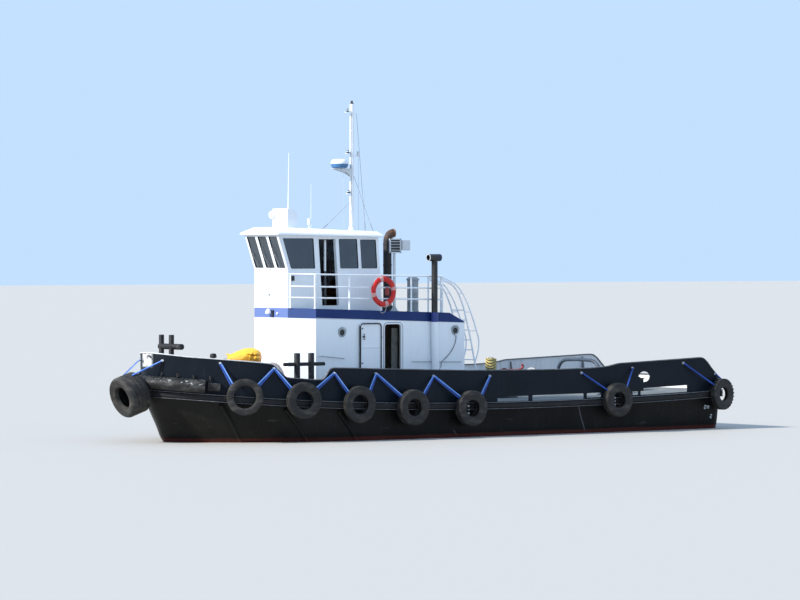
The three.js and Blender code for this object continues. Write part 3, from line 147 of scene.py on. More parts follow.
class Finish:
    """One material, on Object coordinates in metres."""

    def __init__(self, name, roughness=0.5, metallic=0.0):
        self.material = bpy.data.materials.new(name)
        self.material.use_nodes = True
        self.tree = self.material.node_tree
        self.shader = self.tree.nodes["Principled BSDF"]
        self.slot = None
        self.set("Roughness", roughness)
        self.set("Metallic", metallic)

    def node(self, kind, settings=None, inputs=None, output=0):
        made = self.tree.nodes.new(kind)
        for key, value in (settings or {}).items():
            setattr(made, key, value)
        for key, value in (inputs or {}).items():
            self.feed(made.inputs[key], value)
        return Value(self, made.outputs[output])

    def feed(self, socket, value):
        if isinstance(value, Value):
            self.tree.links.new(value.socket, socket)
        else:
            socket.default_value = value

    def set(self, name, value):
        self.feed(self.shader.inputs[name], value)

    def place(self, stretch=(1, 1, 1), shift=(0, 0, 0)):
        where = self.node("ShaderNodeTexCoord", output="Object")
        return self.node("ShaderNodeMapping", None, {"Vector": where, "Scale": stretch, "Location": shift})

    def axis(self, name):
        return self.node("ShaderNodeSeparateXYZ", None, {0: self.place()}, name)

    def facing(self, name):
        normal = self.node("ShaderNodeNewGeometry", output="Normal")
        return self.node("ShaderNodeSeparateXYZ", None, {0: normal}, name)

    def noise(self, scale, detail=3.0, stretch=(1, 1, 1), shift=(0, 0, 0), rough=0.55):
        inputs = {"Vector": self.place(stretch, shift), "Scale": scale, "Detail": detail, "Roughness": rough}
        return self.node("ShaderNodeTexNoise", None, inputs, "Fac")

    def cells(self, scale, stretch=(1, 1, 1)):
        inputs = {"Vector": self.place(stretch), "Scale": scale}
        return self.node("ShaderNodeTexVoronoi", None, inputs, "Distance")

    def mix(self, factor, first, second):
        first, second = (each if isinstance(each, Value) else (*each, 1) for each in (first, second))
        return self.node("ShaderNodeMix", {"data_type": "RGBA"}, {0: factor, 6: first, 7: second}, 2)

    def coats(self, colour, *over):
        """The base colour, and the colours laid over it, each by its own factor."""
        for factor, other in over:
            colour = self.mix(factor, colour, other)
        self.set("Base Color", colour)

    def bump(self, height, distance):
        inputs = {"Height": height, "Distance": distance, "Strength": 1.0}
        self.set("Normal", self.node("ShaderNodeBump", None, inputs))


def steel_paint(name, colour, dirt, rust=0.12, gloss=0.38, wave=0.006):
    """Brushed or rolled paint on plate: run marks, a little rust, and plating that isn't quite flat."""
    made = Finish(name)
    streaks = made.noise(3.0, 4, (3.5, 3.5, 0.45)).between(0.45, 0.8)
    cloud = made.noise(1.1, 3).between(0.3, 0.75)
    specks = made.noise(9.0, 6, (1, 1, 0.5), (3, 1, 2)).between(0.69, 0.76)
    base = made.mix(streaks * 0.5 + cloud * 0.18, colour, dirt)
    made.coats(base, (specks * rust, (0.21, 0.09, 0.035)))
    made.set("Roughness", gloss + 0.22 * cloud + 0.12 * streaks)
    made.bump(made.noise(1.6, 2) + 0.06 * made.noise(60, 2), wave)
    return made


def white_steel():
    """White house paint with faint runs under its edges and rust at the foot."""
    made = Finish("white_paint")
    streaks = made.noise(3.4, 5, (4.0, 4.0, 0.35)).between(0.5, 0.82)
    cloud = made.noise(0.9, 3).between(0.3, 0.75)
    rust = made.noise(11.0, 6, (1, 1, 0.35), (5, 2, 1)).between(0.7, 0.78)
    low = made.axis("Z").between(1.9, 0.95)
    base = made.mix(streaks * 0.28 + cloud * 0.1, (0.82, 0.86, 0.90), (0.60, 0.63, 0.64))
    made.coats(base, (low * 0.25, (0.52, 0.52, 0.49)), (rust * 0.3, (0.30, 0.15, 0.07)))
    made.set("Roughness", 0.36 + 0.2 * cloud)
    made.bump(made.noise(1.7, 2) + 0.04 * made.noise(70, 2), 0.008)
    return made


def hull_black():
    """Black topsides over red bottom paint, with frames showing through, scrapes and salt runs."""
    made = Finish("hull_black")
    x, z = made.axis("X"), made.axis("Z")
    ragged = made.noise(2.2, 5, (1, 1, 2))
    runs = made.noise(3.0, 5, (5.0, 5.0, 0.4)).between(0.52, 0.85)
    scrapes = made.noise(2.6, 7, (0.5, 1, 3.2), (2, 0, 1), 0.65).between(0.62, 0.74)
    cloud = made.noise(0.8, 4).between(0.3, 0.7)
    base = made.mix(cloud * 0.7, (0.009, 0.0085, 0.0075), (0.019, 0.018, 0.016))
    base = made.mix(x.between(5.5, 1.5) * 0.85, base, (0.0035, 0.0035, 0.0032))
    base = made.mix(runs * 0.2, base, (0.055, 0.054, 0.050))
    base = made.mix(scrapes * 0.28, base, (0.10, 0.10, 0.095))
    for fore, high, slope in ((-3.6, 0.8, 0.37), (0.58, 0.2, 0.95)):
        line = (x - fore + slope * (high - z) + 0.07 * ragged).math("ABSOLUTE").between(0.026, 0.008)
        base = made.mix(line * z.between(high + 0.03, high - 0.05) * 0.34, base, (0.24, 0.24, 0.26))
    wet = (z + 0.05 * ragged).between(0.16, 0.09)
    base = made.mix(wet * 0.75, base, (0.10, 0.022, 0.016))
    sunk = (z + 0.03 * ragged).between(0.03, 0.0)
    made.coats(base, (sunk, (0.17, 0.03, 0.022)))
    made.set("Roughness", 0.34 + 0.28 * cloud + 0.2 * scrapes)
    made.set("Specular IOR Level", 0.12)
    frames = x.wave(1 / 0.55) ** 6
    made.bump(made.noise(1.5, 3) + 0.25 * frames + 0.05 * made.noise(45, 3), 0.012)
    return made


def bulwark_black():
    """Bulwark paint: a bluer black, pale near the stem with scrapes where lines and quays rub it and a
    painted highlight where the rounded bow turns to the sun.
    """
    made = Finish("bulwark_black")
    y, z = made.axis("Y"), made.axis("Z")
    cloud = made.noise(1.2, 4).between(0.3, 0.75)
    runs = made.noise(3.5, 5, (4.0, 4.0, 0.4), (1, 0, 0)).between(0.55, 0.85)
    chips = made.noise(7.0, 7, (0.6, 1, 1.5), (4, 1, 0), 0.7).between(0.66, 0.73)
    # Pale near the stem: partly scrapes, partly a painted highlight on the rounded bow.
    stem_scuff_and_sheen = y.math("ABSOLUTE").between(0.27, 0.16) * z.between(1.9, 1.97)
    worn = made.noise(5.0, 6, (1, 1, 1.2), (8, 3, 1), 0.65).between(0.38, 0.47)
    base = made.mix(cloud * 0.8, (0.0045, 0.0075, 0.0125), (0.010, 0.014, 0.021))
    made.coats(base, (runs * 0.22, (0.045, 0.05, 0.06)), (chips * 0.3, (0.12, 0.12, 0.12)),
               (stem_scuff_and_sheen * worn * 0.9, (0.58, 0.59, 0.60)))
    made.set("Roughness", 0.33 + 0.25 * cloud)
    made.set("Specular IOR Level", 0.13)
    made.bump(made.noise(1.4, 3) + 0.06 * made.noise(50, 3), 0.012)
    return made


def rubber(name, colour, worn, patch=0.35, specks=0.0):
    """Black rubber, greyed in patches; specks are pale scars and a painted highlight, kept to its upper side
    where the sun falls.
    """
    made = Finish(name)
    scuff = made.noise(4.0, 6, (0.7, 0.7, 1.6)).between(0.45, 0.72)
    grain = made.noise(55, 3)
    base = made.mix(scuff * patch, colour, worn)
    # Pale specks: partly scars, partly a painted highlight; upper keeps them to faces that look up toward the
    # sun.
    scars_and_glints = made.noise(13, 6, (1, 1, 1.5), (2, 1, 0), 0.65).between(0.56, 0.66)
    upper = made.facing("Z").between(-0.1, 0.5)
    made.coats(base, (scars_and_glints * upper * specks, (0.42, 0.43, 0.44)))
    made.set("Specular IOR Level", 0.3)
    made.set("Roughness", 0.62 + 0.2 * scuff)
    made.bump(grain * 0.25 + made.noise(8, 3), 0.004)
    return made


def galvanised():
    """Galvanised steel with a faint spangle and some stain."""
    made = Finish("galvanised", metallic=0.55)
    spangle = made.cells(38).between(0.1, 0.6)
    stain = made.noise(6, 5).between(0.55, 0.8)
    base = made.mix(spangle * 0.35, (0.66, 0.69, 0.71), (0.50, 0.53, 0.55))
    made.coats(base, (stain * 0.25, (0.33, 0.24, 0.17)))
    made.set("Roughness", 0.34 + 0.18 * spangle)
    made.bump(made.noise(30, 3), 0.0015)
    return made


def window_glass():
    """Tinted panes: mostly reflection, with the inside just showing."""
    made = Finish("window_glass", 0.06)
    haze = made.noise(2.0, 3).between(0.3, 0.8)
    made.set("Base Color", made.mix(haze, (0.004, 0.014, 0.026), (0.008, 0.024, 0.042)))
    made.set("Alpha", 0.84 + 0.1 * haze)
    made.set("Specular IOR Level", 0.9)
    made.set("Coat Weight", 0.7)
    return made


def webbing(name, dark, light):
    """Woven strap: ribs across it and a faded face."""
    made = Finish(name)
    weave = made.cells(130, (1, 1, 1.6))
    faded = made.noise(3.0, 4).between(0.35, 0.75)
    made.set("Base Color", made.mix(faded * 0.6, dark, light))
    made.set("Roughness", 0.55 + 0.15 * weave)
    made.bump(weave, 0.0025)
    return made


def deck_paint():
    """Deck paint with grit, worn tread and some rust."""
    made = Finish("deck_paint")
    grit = made.noise(160, 2)
    tread = made.noise(1.3, 5).between(0.35, 0.7)
    rust = made.noise(5, 6, (1, 1, 1), (2, 2, 2)).between(0.66, 0.74)
    base = made.mix(tread, (0.10, 0.115, 0.12), (0.17, 0.18, 0.18))
    made.coats(base, (rust * 0.5, (0.19, 0.08, 0.035)))
    made.set("Roughness", 0.75 + 0.1 * tread)
    made.bump(grit + 2.0 * made.noise(2, 2), 0.003)
    return made


def house_band():
    """The deckhouse top: navy on its edge, grey non-slip paint on its flat, the navy drawn lighter on its
    sunlit front.
    """
    made = Finish("blue_paint")
    flat = made.facing("Z").between(0.8, 0.95)
    cloud = made.noise(1.3, 4).between(0.3, 0.75)
    runs = made.noise(3.0, 5, (5.0, 5.0, 0.5)).between(0.5, 0.8)
    navy = made.mix(cloud * 0.5 + runs * 0.3, (0.009, 0.028, 0.125), (0.020, 0.046, 0.17))
    # Painted light: faces that look forward, toward the sun, get a lighter navy, as a sunlit front would
    # look.
    sunlit_front = made.facing("X").between(0.5, 0.98)
    navy = made.mix(sunlit_front, navy, (0.12, 0.175, 0.40))
    grey = made.mix(cloud, (0.24, 0.26, 0.27), (0.34, 0.36, 0.36))
    made.set("Base Color", made.mix(flat, navy, grey))
    made.set("Roughness", 0.38 + 0.4 * flat)
    made.set("Specular IOR Level", 0.2)
    made.bump(made.noise(1.6, 2) + flat * made.noise(150, 2) * 0.3, 0.005)
    return made


def side_pipe_paint():
    """The pipe is painted as what it stands in front of: white, then navy, then black above the rail."""
    made = Finish("side_pipe_paint", 0.42)
    z = made.axis("Z")
    soot = made.noise(7, 4, (1, 1, 0.5)).between(0.4, 0.8)
    low = made.mix(z.between(3.001, 3.005), (0.80, 0.84, 0.88), (0.02, 0.04, 0.2))
    black = made.mix(soot * 0.5, (0.010, 0.011, 0.013), (0.04, 0.036, 0.034))
    made.set("Base Color", made.mix(z.between(3.255, 3.262), low, black))
    made.bump(made.noise(20, 3), 0.002)
    return made


def stack_iron():
    """Sooty pipe, rusting brown at its hot elbow."""
    made = Finish("stack_iron", metallic=0.1)
    z = made.axis("Z")
    blotch = made.noise(7, 6).between(0.35, 0.65)
    hot = (z + 0.25 * blotch).between(5.2, 5.5)
    dark = made.mix(blotch, (0.012, 0.012, 0.014), (0.035, 0.032, 0.032))
    brown = made.mix(blotch, (0.045, 0.022, 0.014), (0.11, 0.05, 0.03))
    made.set("Base Color", made.mix(hot, dark, brown))
    made.set("Roughness", 0.6 + 0.25 * blotch)
    made.bump(made.noise(25, 5), 0.004)
    return made


def red_ring_plastic():
    """Life ring: orange-red with four pale bands, placed by angle round its middle."""
    made = Finish("orange_plastic", 0.4)
    x = made.axis("X") - RING_X
    z = made.axis("Z") - RING_Z
    turn = z.math("ARCTAN2", x)
    band = (turn * 2 + 0.5).math("SINE").math("ABSOLUTE").between(0.30, 0.27)
    fade = made.noise(5, 4).between(0.3, 0.8)
    shell = made.mix(fade, (0.52, 0.012, 0.011), (0.62, 0.035, 0.030))
    made.set("Base Color", made.mix(band, shell, (0.62, 0.33, 0.31)))
    made.set("Specular IOR Level", 0.3)
    made.bump(made.noise(40, 3), 0.0015)
    return made


def cover_cloth():
    made = Finish("yellow_cloth")
    # Painted light: the cloth is lighter and yellower where it faces up toward the sun, and deeper orange on
    # its sides as in shade.
    sun = made.facing("Z").between(-0.3, 0.9)
    dirt = made.noise(5, 5).between(0.5, 0.8)
    base = made.mix(sun, (0.66, 0.26, 0.008), (0.84, 0.47, 0.022))
    lump = made.axis("X").between(5.3, 5.22) * made.axis("Z").between(2.23, 2.19)
    made.coats(base, (lump * 0.8, (0.80, 0.30, 0.075)), (dirt * 0.3, (0.42, 0.20, 0.04)))
    made.set("Roughness", 0.55 + 0.2 * dirt)
    weave = made.axis("X").wave(260) + made.axis("Z").wave(260)
    made.bump(weave * 0.12 + made.noise(14, 3), 0.006)
    return made


def rope_fibre():
    """Laid rope: slanting strands, yellow with tan and grey wear."""
    made = Finish("rope_fibre")
    along = made.axis("X") + made.axis("Y") + 1.7 * made.axis("Z")
    strand = along.wave(34)
    turns = (along + 0.05 * made.noise(5, 3)).wave(8).between(0.15, 0.6)
    worn = made.noise(9, 5).between(0.4, 0.75)
    # The rope is drawn darker in broad slanting bands, and darker again in the grooves between its strands,
    # which is painted shade.
    base = made.mix(turns * (0.7 + 0.3 * strand), (0.10, 0.055, 0.02), (0.98, 0.80, 0.30))
    made.coats(base, (worn * 0.3, (0.72, 0.64, 0.48)))
    made.set("Roughness", 0.85)
    made.bump(strand + 0.3 * made.noise(220, 2), 0.003)
    return made


def plain(name, colour, roughness=0.5, metallic=0.0, grain=0.15, relief=0.001, coat=0.0):
    """A fitting's paint or metal with slight unevenness."""
    made = Finish(name, metallic=metallic)
    cloud = made.noise(6, 4).between(0.3, 0.75)
    darker = [c * (1 - grain) for c in colour]
    lighter = [min(1.0, c * (1 + grain)) for c in colour]
    made.set("Base Color", made.mix(cloud, darker, lighter))
    made.set("Roughness", roughness + 0.12 * cloud)
    made.set("Coat Weight", coat)
    made.bump(made.noise(45, 3), relief)
    return made


def worn_black():
    """Black deck gear with the paint rubbed off to steel where lines run."""
    made = Finish("black_paint")
    rub = made.noise(6, 6, (1, 1, 1), (1, 4, 2), 0.65).between(0.56, 0.66)
    cloud = made.noise(3, 4).between(0.3, 0.75)
    base = made.mix(cloud, (0.010, 0.010, 0.012), (0.028, 0.028, 0.030))
    made.coats(base, (rub * 0.35, (0.20, 0.18, 0.17)))
    made.set("Metallic", rub * 0.4)
    made.set("Specular IOR Level", 0.25)
    made.set("Roughness", 0.42 + 0.25 * cloud)
    made.bump(made.noise(30, 4), 0.002)
    return made


RING_X, RING_Z = 1.95, 3.815
RING_MAJOR, RING_THICK, RING_HALF = 0.328, 0.072, 0.052
WHITE = white_steel()
HULL = hull_black()
BULWARK = bulwark_black()
INNER_GREY = steel_paint("bulwark_inside", (0.66, 0.68, 0.70), (0.40, 0.41, 0.41), 0.5)
STAY_GREY = steel_paint("stay_grey", (0.15, 0.16, 0.18), (0.10, 0.10, 0.10), 0.3)
ARCH_PAINT = plain("arch_blue_grey", (0.035, 0.05, 0.075), 0.45, 0.0, 0.3)
CAP_PAINT = steel_paint("cap_paint", (0.055, 0.06, 0.07), (0.28, 0.28, 0.28), 0.3, 0.4, 0.002)
# Pale cap at the bow: worn paint, and a painted highlight along its sunlit top.
CAP_WORN_AND_LIT = steel_paint("cap_worn_and_painted_lit", (0.56, 0.57, 0.57), (0.26, 0.26, 0.27), 0.35, 0.42, 0.002)
DECK = deck_paint()
BAND = house_band()
GREY = steel_paint("grey_paint", (0.33, 0.36, 0.38), (0.20, 0.21, 0.21), 0.3)
BLACK = worn_black()
SATIN_BLACK = plain("satin_black", (0.012, 0.012, 0.014), 0.4)
# specks: pale scars and a painted highlight along the fender's top.
FENDER = rubber("fender_rubber", (0.010, 0.010, 0.010), (0.12, 0.12, 0.115), 0.55, 0.8)
BELT = rubber("belt_rubber", (0.008, 0.008, 0.009), (0.05, 0.05, 0.05), 0.4)
TYRE = rubber("tyre_rubber", (0.019, 0.018, 0.017), (0.095, 0.088, 0.076), 0.6)
GASKET = plain("gasket", (0.012, 0.012, 0.013), 0.7)
GALVANISED = galvanised()
GLASS = window_glass()
WEBBING = webbing("blue_webbing", (0.006, 0.045, 0.27), (0.02, 0.09, 0.42))
# A painted-lit copy of the blue webbing: one strand of each strap is drawn lighter, as a painted highlight
# where the sun catches it.
WEBBING_PAINTED_LIT = webbing("webbing_painted_lit", (0.10, 0.25, 0.68), (0.26, 0.42, 0.80))
RING_PLASTIC = red_ring_plastic()
COVER = cover_cloth()
ROPE = rope_fibre()
PIPE_PAINT = side_pipe_paint()
STACK = stack_iron()
BRONZE = plain("bronze", (0.42, 0.24, 0.08), 0.3, 1.0, 0.3, 0.002)
RED = steel_paint("red_paint", (0.30, 0.03, 0.025), (0.12, 0.05, 0.04), 0.6)
BOTTOM = steel_paint("antifouling", (0.19, 0.033, 0.024), (0.09, 0.05, 0.045), 0.3, 0.7)
ZINC = plain("zinc", (0.35, 0.36, 0.37), 0.6, 0.5)
RAIL_WHITE = plain("rail_white", (0.82, 0.86, 0.90), 0.35, 0.0, 0.05)
PORTHOLE_GLASS = plain("porthole_glass", (0.012, 0.015, 0.018), 0.1, 0.0, 0.2, 0.0003)
PLASTIC_WHITE = plain("white_plastic", (0.80, 0.83, 0.86), 0.28, 0.0, 0.04, 0.0004, 0.3)
RADAR_BLUE = plain("radar_blue", (0.05, 0.16, 0.34), 0.35, 0.0, 0.08)
WIRE = plain("wire", (0.30, 0.31, 0.32), 0.45, 0.6)
LENS = plain("lamp_lens", (0.55, 0.60, 0.62), 0.12, 0.0, 0.1, 0.0005, 0.6)
LINING = plain("cabin_lining", (0.19, 0.155, 0.12), 0.7)
CONSOLE = plain("console", (0.05, 0.055, 0.06), 0.55)
SEAT = plain("seat_cloth", (0.055, 0.05, 0.06), 0.85, 0.0, 0.25, 0.003)
WOOD = plain("varnished_wood", (0.20, 0.085, 0.035), 0.35, 0.0, 0.35, 0.001, 0.3)
CABLE = plain("cable_jacket", (0.014, 0.014, 0.016), 0.55)
CORD_WHITE = plain("white_cord", (0.62, 0.62, 0.58), 0.8)

# The record's slot that each finish belongs to.
for slot_name, finishes in {
    "hull_paint": (HULL, BULWARK, STAY_GREY, CAP_PAINT, CAP_WORN_AND_LIT),
    "white_paint": (WHITE,),
    "blue_paint": (RADAR_BLUE,),
    "grey_paint": (GREY,),
    "black_paint": (BLACK, SATIN_BLACK, ARCH_PAINT, PIPE_PAINT, STACK),
    "red_paint": (RED,),
    "deck_paint": (DECK,),
    "antifouling": (BOTTOM,),
    "bronze": (BRONZE,),
    "galvanised_steel": (GALVANISED, ZINC, WIRE, RAIL_WHITE),
    "white_plastic": (PLASTIC_WHITE, LENS),
    "orange_plastic": (RING_PLASTIC,),
    "window_glass": (GLASS, PORTHOLE_GLASS),
    "fender_rubber": (FENDER, BELT),
    "tyre": (TYRE,),
    "cable_jacket": (CABLE, GASKET),
    "blue_webbing": (WEBBING, WEBBING_PAINTED_LIT),
    "yellow_fabric": (COVER,),
    "rope": (ROPE, CORD_WHITE),
    "cabin_lining": (LINING, CONSOLE, SEAT, WOOD),
}.items():
    for each in finishes:
        each.slot = slot_name


# Making pieces.
def piece(name, bm, finish, body="root", bevel=0.0, sharp=35, slot=None, replaces=None, tidy=True):
    """Turns a bmesh into a piece of the tug; finish is one Finish, or several for faces that name them."""
    if tidy:
        bmesh.ops.remove_doubles(bm, verts=bm.verts, dist=1e-5)
        bmesh.ops.recalc_face_normals(bm, faces=bm.faces)
    mesh = bpy.data.meshes.new(name)
    bm.to_mesh(mesh)
    bm.free()
    mesh.shade_smooth()
    mesh.set_sharp_from_angle(angle=math.radians(sharp))
    made = bpy.data.objects.new(name, mesh)
    bpy.context.scene.collection.objects.link(made)
    finishes = finish if isinstance(finish, list) else [finish]
    for each in finishes:
        mesh.materials.append(each.material)
    if bevel:
        edges = made.modifiers.new("edges", "BEVEL")
        edges.width = bevel
        edges.segments = 2
        edges.limit_method = "ANGLE"
        edges.angle_limit = math.radians(40)
        edges.harden_normals = True
    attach(made, body)
    slot or finishes[0].slot
    if replaces:
        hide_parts(replaces)
    return made


def slab(bm, low, high):
    """A box between two corners."""
    low, high = Vector(low), Vector(high)
    matrix = Matrix.Translation((low + high) / 2) @ Matrix.Diagonal((*(high - low), 1))
    return bmesh.ops.create_cube(bm, size=1, matrix=matrix)["verts"]


def drum(bm, start, end, radius, end_radius=None, sides=20):
    """A closed cylinder, or a cone where end_radius is given."""
    start, end = Vector(start), Vector(end)
    along = end - start
    matrix = Matrix.Translation((start + end) / 2) @ along.to_track_quat("Z", "Y").to_matrix().to_4x4()
    end_radius = radius if end_radius is None else end_radius
    bmesh.ops.create_cone(bm, cap_ends=True, segments=sides, radius1=radius, radius2=end_radius,
                          depth=along.length, matrix=matrix)


def ball(bm, centre, radius):
    matrix = Matrix.Translation(centre)
    bmesh.ops.create_uvsphere(bm, u_segments=20, v_segments=12, radius=radius, matrix=matrix)


def spun(bm, profile, centre, axis, steps=40, closed=False):
    """Spins a profile of (radius, height) pairs about an axis through centre."""
    axis = Vector(axis).normalized()
    out = axis.orthogonal().normalized()
    verts = [bm.verts.new(Vector(centre) + out * r + axis * h) for r, h in profile]
    pairs = list(zip(verts, verts[1:])) + ([(verts[-1], verts[0])] if closed else [])
    edges = [bm.edges.new(pair) for pair in pairs]
    bmesh.ops.spin(bm, geom=verts + edges, cent=centre, axis=axis, dvec=(0, 0, 0), angle=2 * math.pi,
                   steps=steps, use_merge=True, use_duplicate=False)


def skin(bm, columns, rows, place):
    """A grid of columns by rows whose points are given by place(i, j)."""
    made = bmesh.ops.create_grid(bm, x_segments=columns, y_segments=rows, size=1)["verts"]
    for vert in made:
        i, j = round((vert.co.x + 1) / 2 * columns), round((vert.co.y + 1) / 2 * rows)
        vert.co = place(i, j)
    return made


def fill_ends(bm):
    """Closes whatever openings the mesh has left."""
    bmesh.ops.remove_doubles(bm, verts=bm.verts, dist=1e-5)
    bmesh.ops.holes_fill(bm, edges=[e for e in bm.edges if e.is_boundary], sides=0)


def sweep(bm, path, section, lift, closed=False):
    """Carries a closed section along a path. Section pairs go sideways and along lift, which is a
    vector or a function of the index."""
    count = len(path)
    lift_at = lift if callable(lift) else lambda i: Vector(lift)
    frames = []
    for i, here in enumerate(path):
        before = path[i - 1] if i or closed else here
        after = path[(i + 1) % count] if i + 1 < count or closed else here
        along = (Vector(after) - Vector(before)).normalized()
        up = lift_at(i).normalized()
        side = along.cross(up).normalized()
        frames.append((Vector(here), side, side.cross(along).normalized()))

    def place(i, j):
        here, side, up = frames[i % count]
        across, high = section[j % len(section)]
        return here + side * across + up * high

    made = skin(bm, count if closed else count - 1, len(section), place)
    bmesh.ops.remove_doubles(bm, verts=made, dist=1e-6)
    if not closed:
        fill_ends(bm)


def ring_points(count, radius, stretch=1.0):
    turns = [2 * math.pi * k / count for k in range(count)]
    return [(radius * math.cos(t), radius * math.sin(t) * stretch) for t in turns]


def hoop(bm, centre, axis, radius, bar, sides, steps):
    """A closed ring of round bar."""
    spun(bm, [(radius + a, b) for a, b in ring_points(sides, bar)], centre, axis, steps, closed=True)


def collar(bm, centre, axis, inner, outer, low, high, steps):
    """A square-edged band round a tube."""
    spun(bm, [(inner, low), (outer, low), (outer, high), (inner, high)], centre, axis, steps, closed=True)


def softened(points, radius, steps=5, closed=False):
    """The same line with its corners rounded."""
    points = [Vector(p) for p in points]
    made = []
    last = len(points) - 1
    for i, corner in enumerate(points):
        if not closed and i in (0, last):
            made.append(corner)
            continue
        to_before, to_after = points[i - 1] - corner, points[(i + 1) % len(points)] - corner
        cutback = min(radius, to_before.length * 0.45, to_after.length * 0.45)
        start, end = corner + to_before.normalized() * cutback, corner + to_after.normalized() * cutback
        for k in range(steps + 1):
            f = k / steps
            made.append(start * (1 - f) ** 2 + corner * 2 * f * (1 - f) + end * f * f)
    return made


def curved(points, steps=6):
    """A smooth line through the points."""
    points = [Vector(p) for p in points]
    ends = [2 * points[0] - points[1], *points, 2 * points[-1] - points[-2]]
    made = []
    for a, b, c, d in zip(ends, ends[1:], ends[2:], ends[3:]):
        for k in range(steps):
            t = k / steps
            made.append(0.5 * (2 * b + (c - a) * t + (2 * a - 5 * b + 4 * c - d) * t * t
                               + (3 * b - a - 3 * c + d) * t ** 3))
    return made + [points[-1]]


def rounded(corners, radius, steps=3):
    """A closed section with its corners rounded."""
    return [(p.x, p.y) for p in softened([(a, b, 0) for a, b in corners], radius, steps, closed=True)]


def pipe(bm, path, radius, sides=10, closed=False):
    """A round bar along a path, without twist."""
    path = [Vector(p) for p in path]
    ups = []
    up = (path[1] - path[0]).normalized().orthogonal().normalized()
    for i in range(len(path)):
        ahead = path[(i + 1) % len(path)] if closed else path[min(i + 1, len(path) - 1)]
        behind = path[i - 1] if i or closed else path[0]
        along = (ahead - behind).normalized()
        up = (up - along * up.dot(along)).normalized()
        ups.append(up)
    sweep(bm, path, ring_points(sides, radius), lambda i: ups[i], closed)


def handle(bm, start, end, out, radius, bend):
    """A bar that stands out from start, runs along and goes back in at end."""
    start, end = Vector(start), Vector(end)
    pipe(bm, softened([start, start + out, end + out, end], bend), radius)


def flanged_post(bm, x, y, foot, top, radius, sides, flange, flange_sides, thick=0.012):
    """An upright tube on a round foot."""
    drum(bm, (x, y, foot), (x, y, top), radius, sides=sides)
    drum(bm, (x, y, foot), (x, y, foot + thick), flange, sides=flange_sides)


def square(half, low, high):
    """The section of a rectangular bar."""
    return [(-half, low), (half, low), (half, high), (-half, high)]


def boxes(name, finish, *corners, **options):
    """A piece made of plain boxes, each given by its two corners."""
    bm = bmesh.new()
    for low, high in corners:
        slab(bm, low, high)
    return piece(name, bm, finish, **options)


def sided(point, side):
    """A port place as it is, or its starboard twin where side is -1."""
    return Vector((point.x, point.y * side, point.z))


def plate(bm, outline, push):
    """A flat plate: the outline is one face, and the other is pushed off it by the vector push."""
    face = bm.faces.new([bm.verts.new(p) for p in outline])
    made = bmesh.ops.extrude_face_region(bm, geom=[face])["geom"]
    verts = [g for g in made if isinstance(g, bmesh.types.BMVert)]
    bmesh.ops.translate(bm, verts=verts, vec=push)


def gusset(bm, base, away, near, far, tall):
    """A three-cornered web at the foot of a post."""
    thick = away.cross(Z) * 0.006
    outline = [base + away * near, base + away * far, base + away * near + Z * tall]
    plate(bm, [p - thick / 2 for p in outline], thick)


def gussets(bm, base, count, first, near, far, tall):
    """Gussets spaced round a post's foot."""
    for k in range(count):
        turn = first + 2 * math.pi * k / count
        gusset(bm, Vector(base), Vector((math.cos(turn), math.sin(turn), 0)), near, far, tall)


def mirror_y(bm):
    """Adds the starboard twin of everything so far."""
    twin = bmesh.ops.duplicate(bm, geom=bm.verts[:] + bm.edges[:] + bm.faces[:])["geom"]
    verts = [g for g in twin if isinstance(g, bmesh.types.BMVert)]
    bmesh.ops.scale(bm, verts=verts, vec=(1, -1, 1))
    bmesh.ops.reverse_faces(bm, faces=[g for g in twin if isinstance(g, bmesh.types.BMFace)])


# Hull lines: plan curves at five levels, as in the frame, faired between.
LEVEL_PARTS = ("stem", "nose", "shoulder", "full", "quarter", "corner", "z")
LEVELS = [dict(zip(LEVEL_PARTS, row)) for row in (
    (8.5, 0.75, (6.95, 2.42), (4.2, 2.5), 2.35, 0.35, None),
    (8.1, 0.55, (6.6, 2.35), (3.8, 2.47), 2.3, 0.35, (0.45, 0.42, 0.47)),
    (7.92, 0.4, (6.3, 2.2), (3.4, 2.44), 2.22, 0.38, (0, 0, 0)),
    (7.35, 0.15, (5.6, 1.8), (2.6, 2.18), 1.95, 0.35, (-0.55, -0.8, -0.12)),
    (6.8, 0.06, (5.0, 0.8), (1.5, 1.15), 0.9, 0.2, (-1.05, -1.38, -0.22)),
)]
KEEL_STEM, KEEL_Z = 6.5, (-1.22, -1.6, -0.3)


def bezier(t, a, b, c, d):
    return (1 - t) ** 3 * a + 3 * (1 - t) ** 2 * t * b + 3 * (1 - t) * t * t * c + t ** 3 * d


def level_point(level, s):
    """A point of a level. s runs 0 to 1 round the bow, to 2 along the side, to 3 aft, to 4 round the corner
    and to 5 across."""
    stem, nose, shoulder, full = level["stem"], level["nose"], level["shoulder"], level["full"]
    quarter, corner, heights = level["quarter"], level["corner"], level["z"]
    corner_x = TRANSOM_X + corner
    if s <= 1:
        x = bezier(s, stem, stem, shoulder[0], full[0])
        y = bezier(s, 0, nose, shoulder[1], full[1])
    elif s <= 2:
        x, y = full[0] + (RUN_X - full[0]) * (s - 1), full[1]
    elif s <= 3:
        x, y = RUN_X + (corner_x - RUN_X) * (s - 2), full[1] + (quarter - full[1]) * (s - 2) ** 2
    else:
        turn = math.pi / 2 * min(1, s - 3)
        x = corner_x - corner * math.sin(turn)
        y = (quarter - corner + corner * math.cos(turn)) * (1 - max(0, s - 4))
    if heights is None:
        return Vector((x, y, sheer(x)))
    aft = max(0, (RUN_X - x) / (RUN_X - TRANSOM_X))
    bow = (1 - min(1, s)) ** 2
    z = heights[1] + (heights[0] - heights[1]) * bow + (heights[2] - heights[1]) * aft ** 1.2
    return Vector((x, y, z))


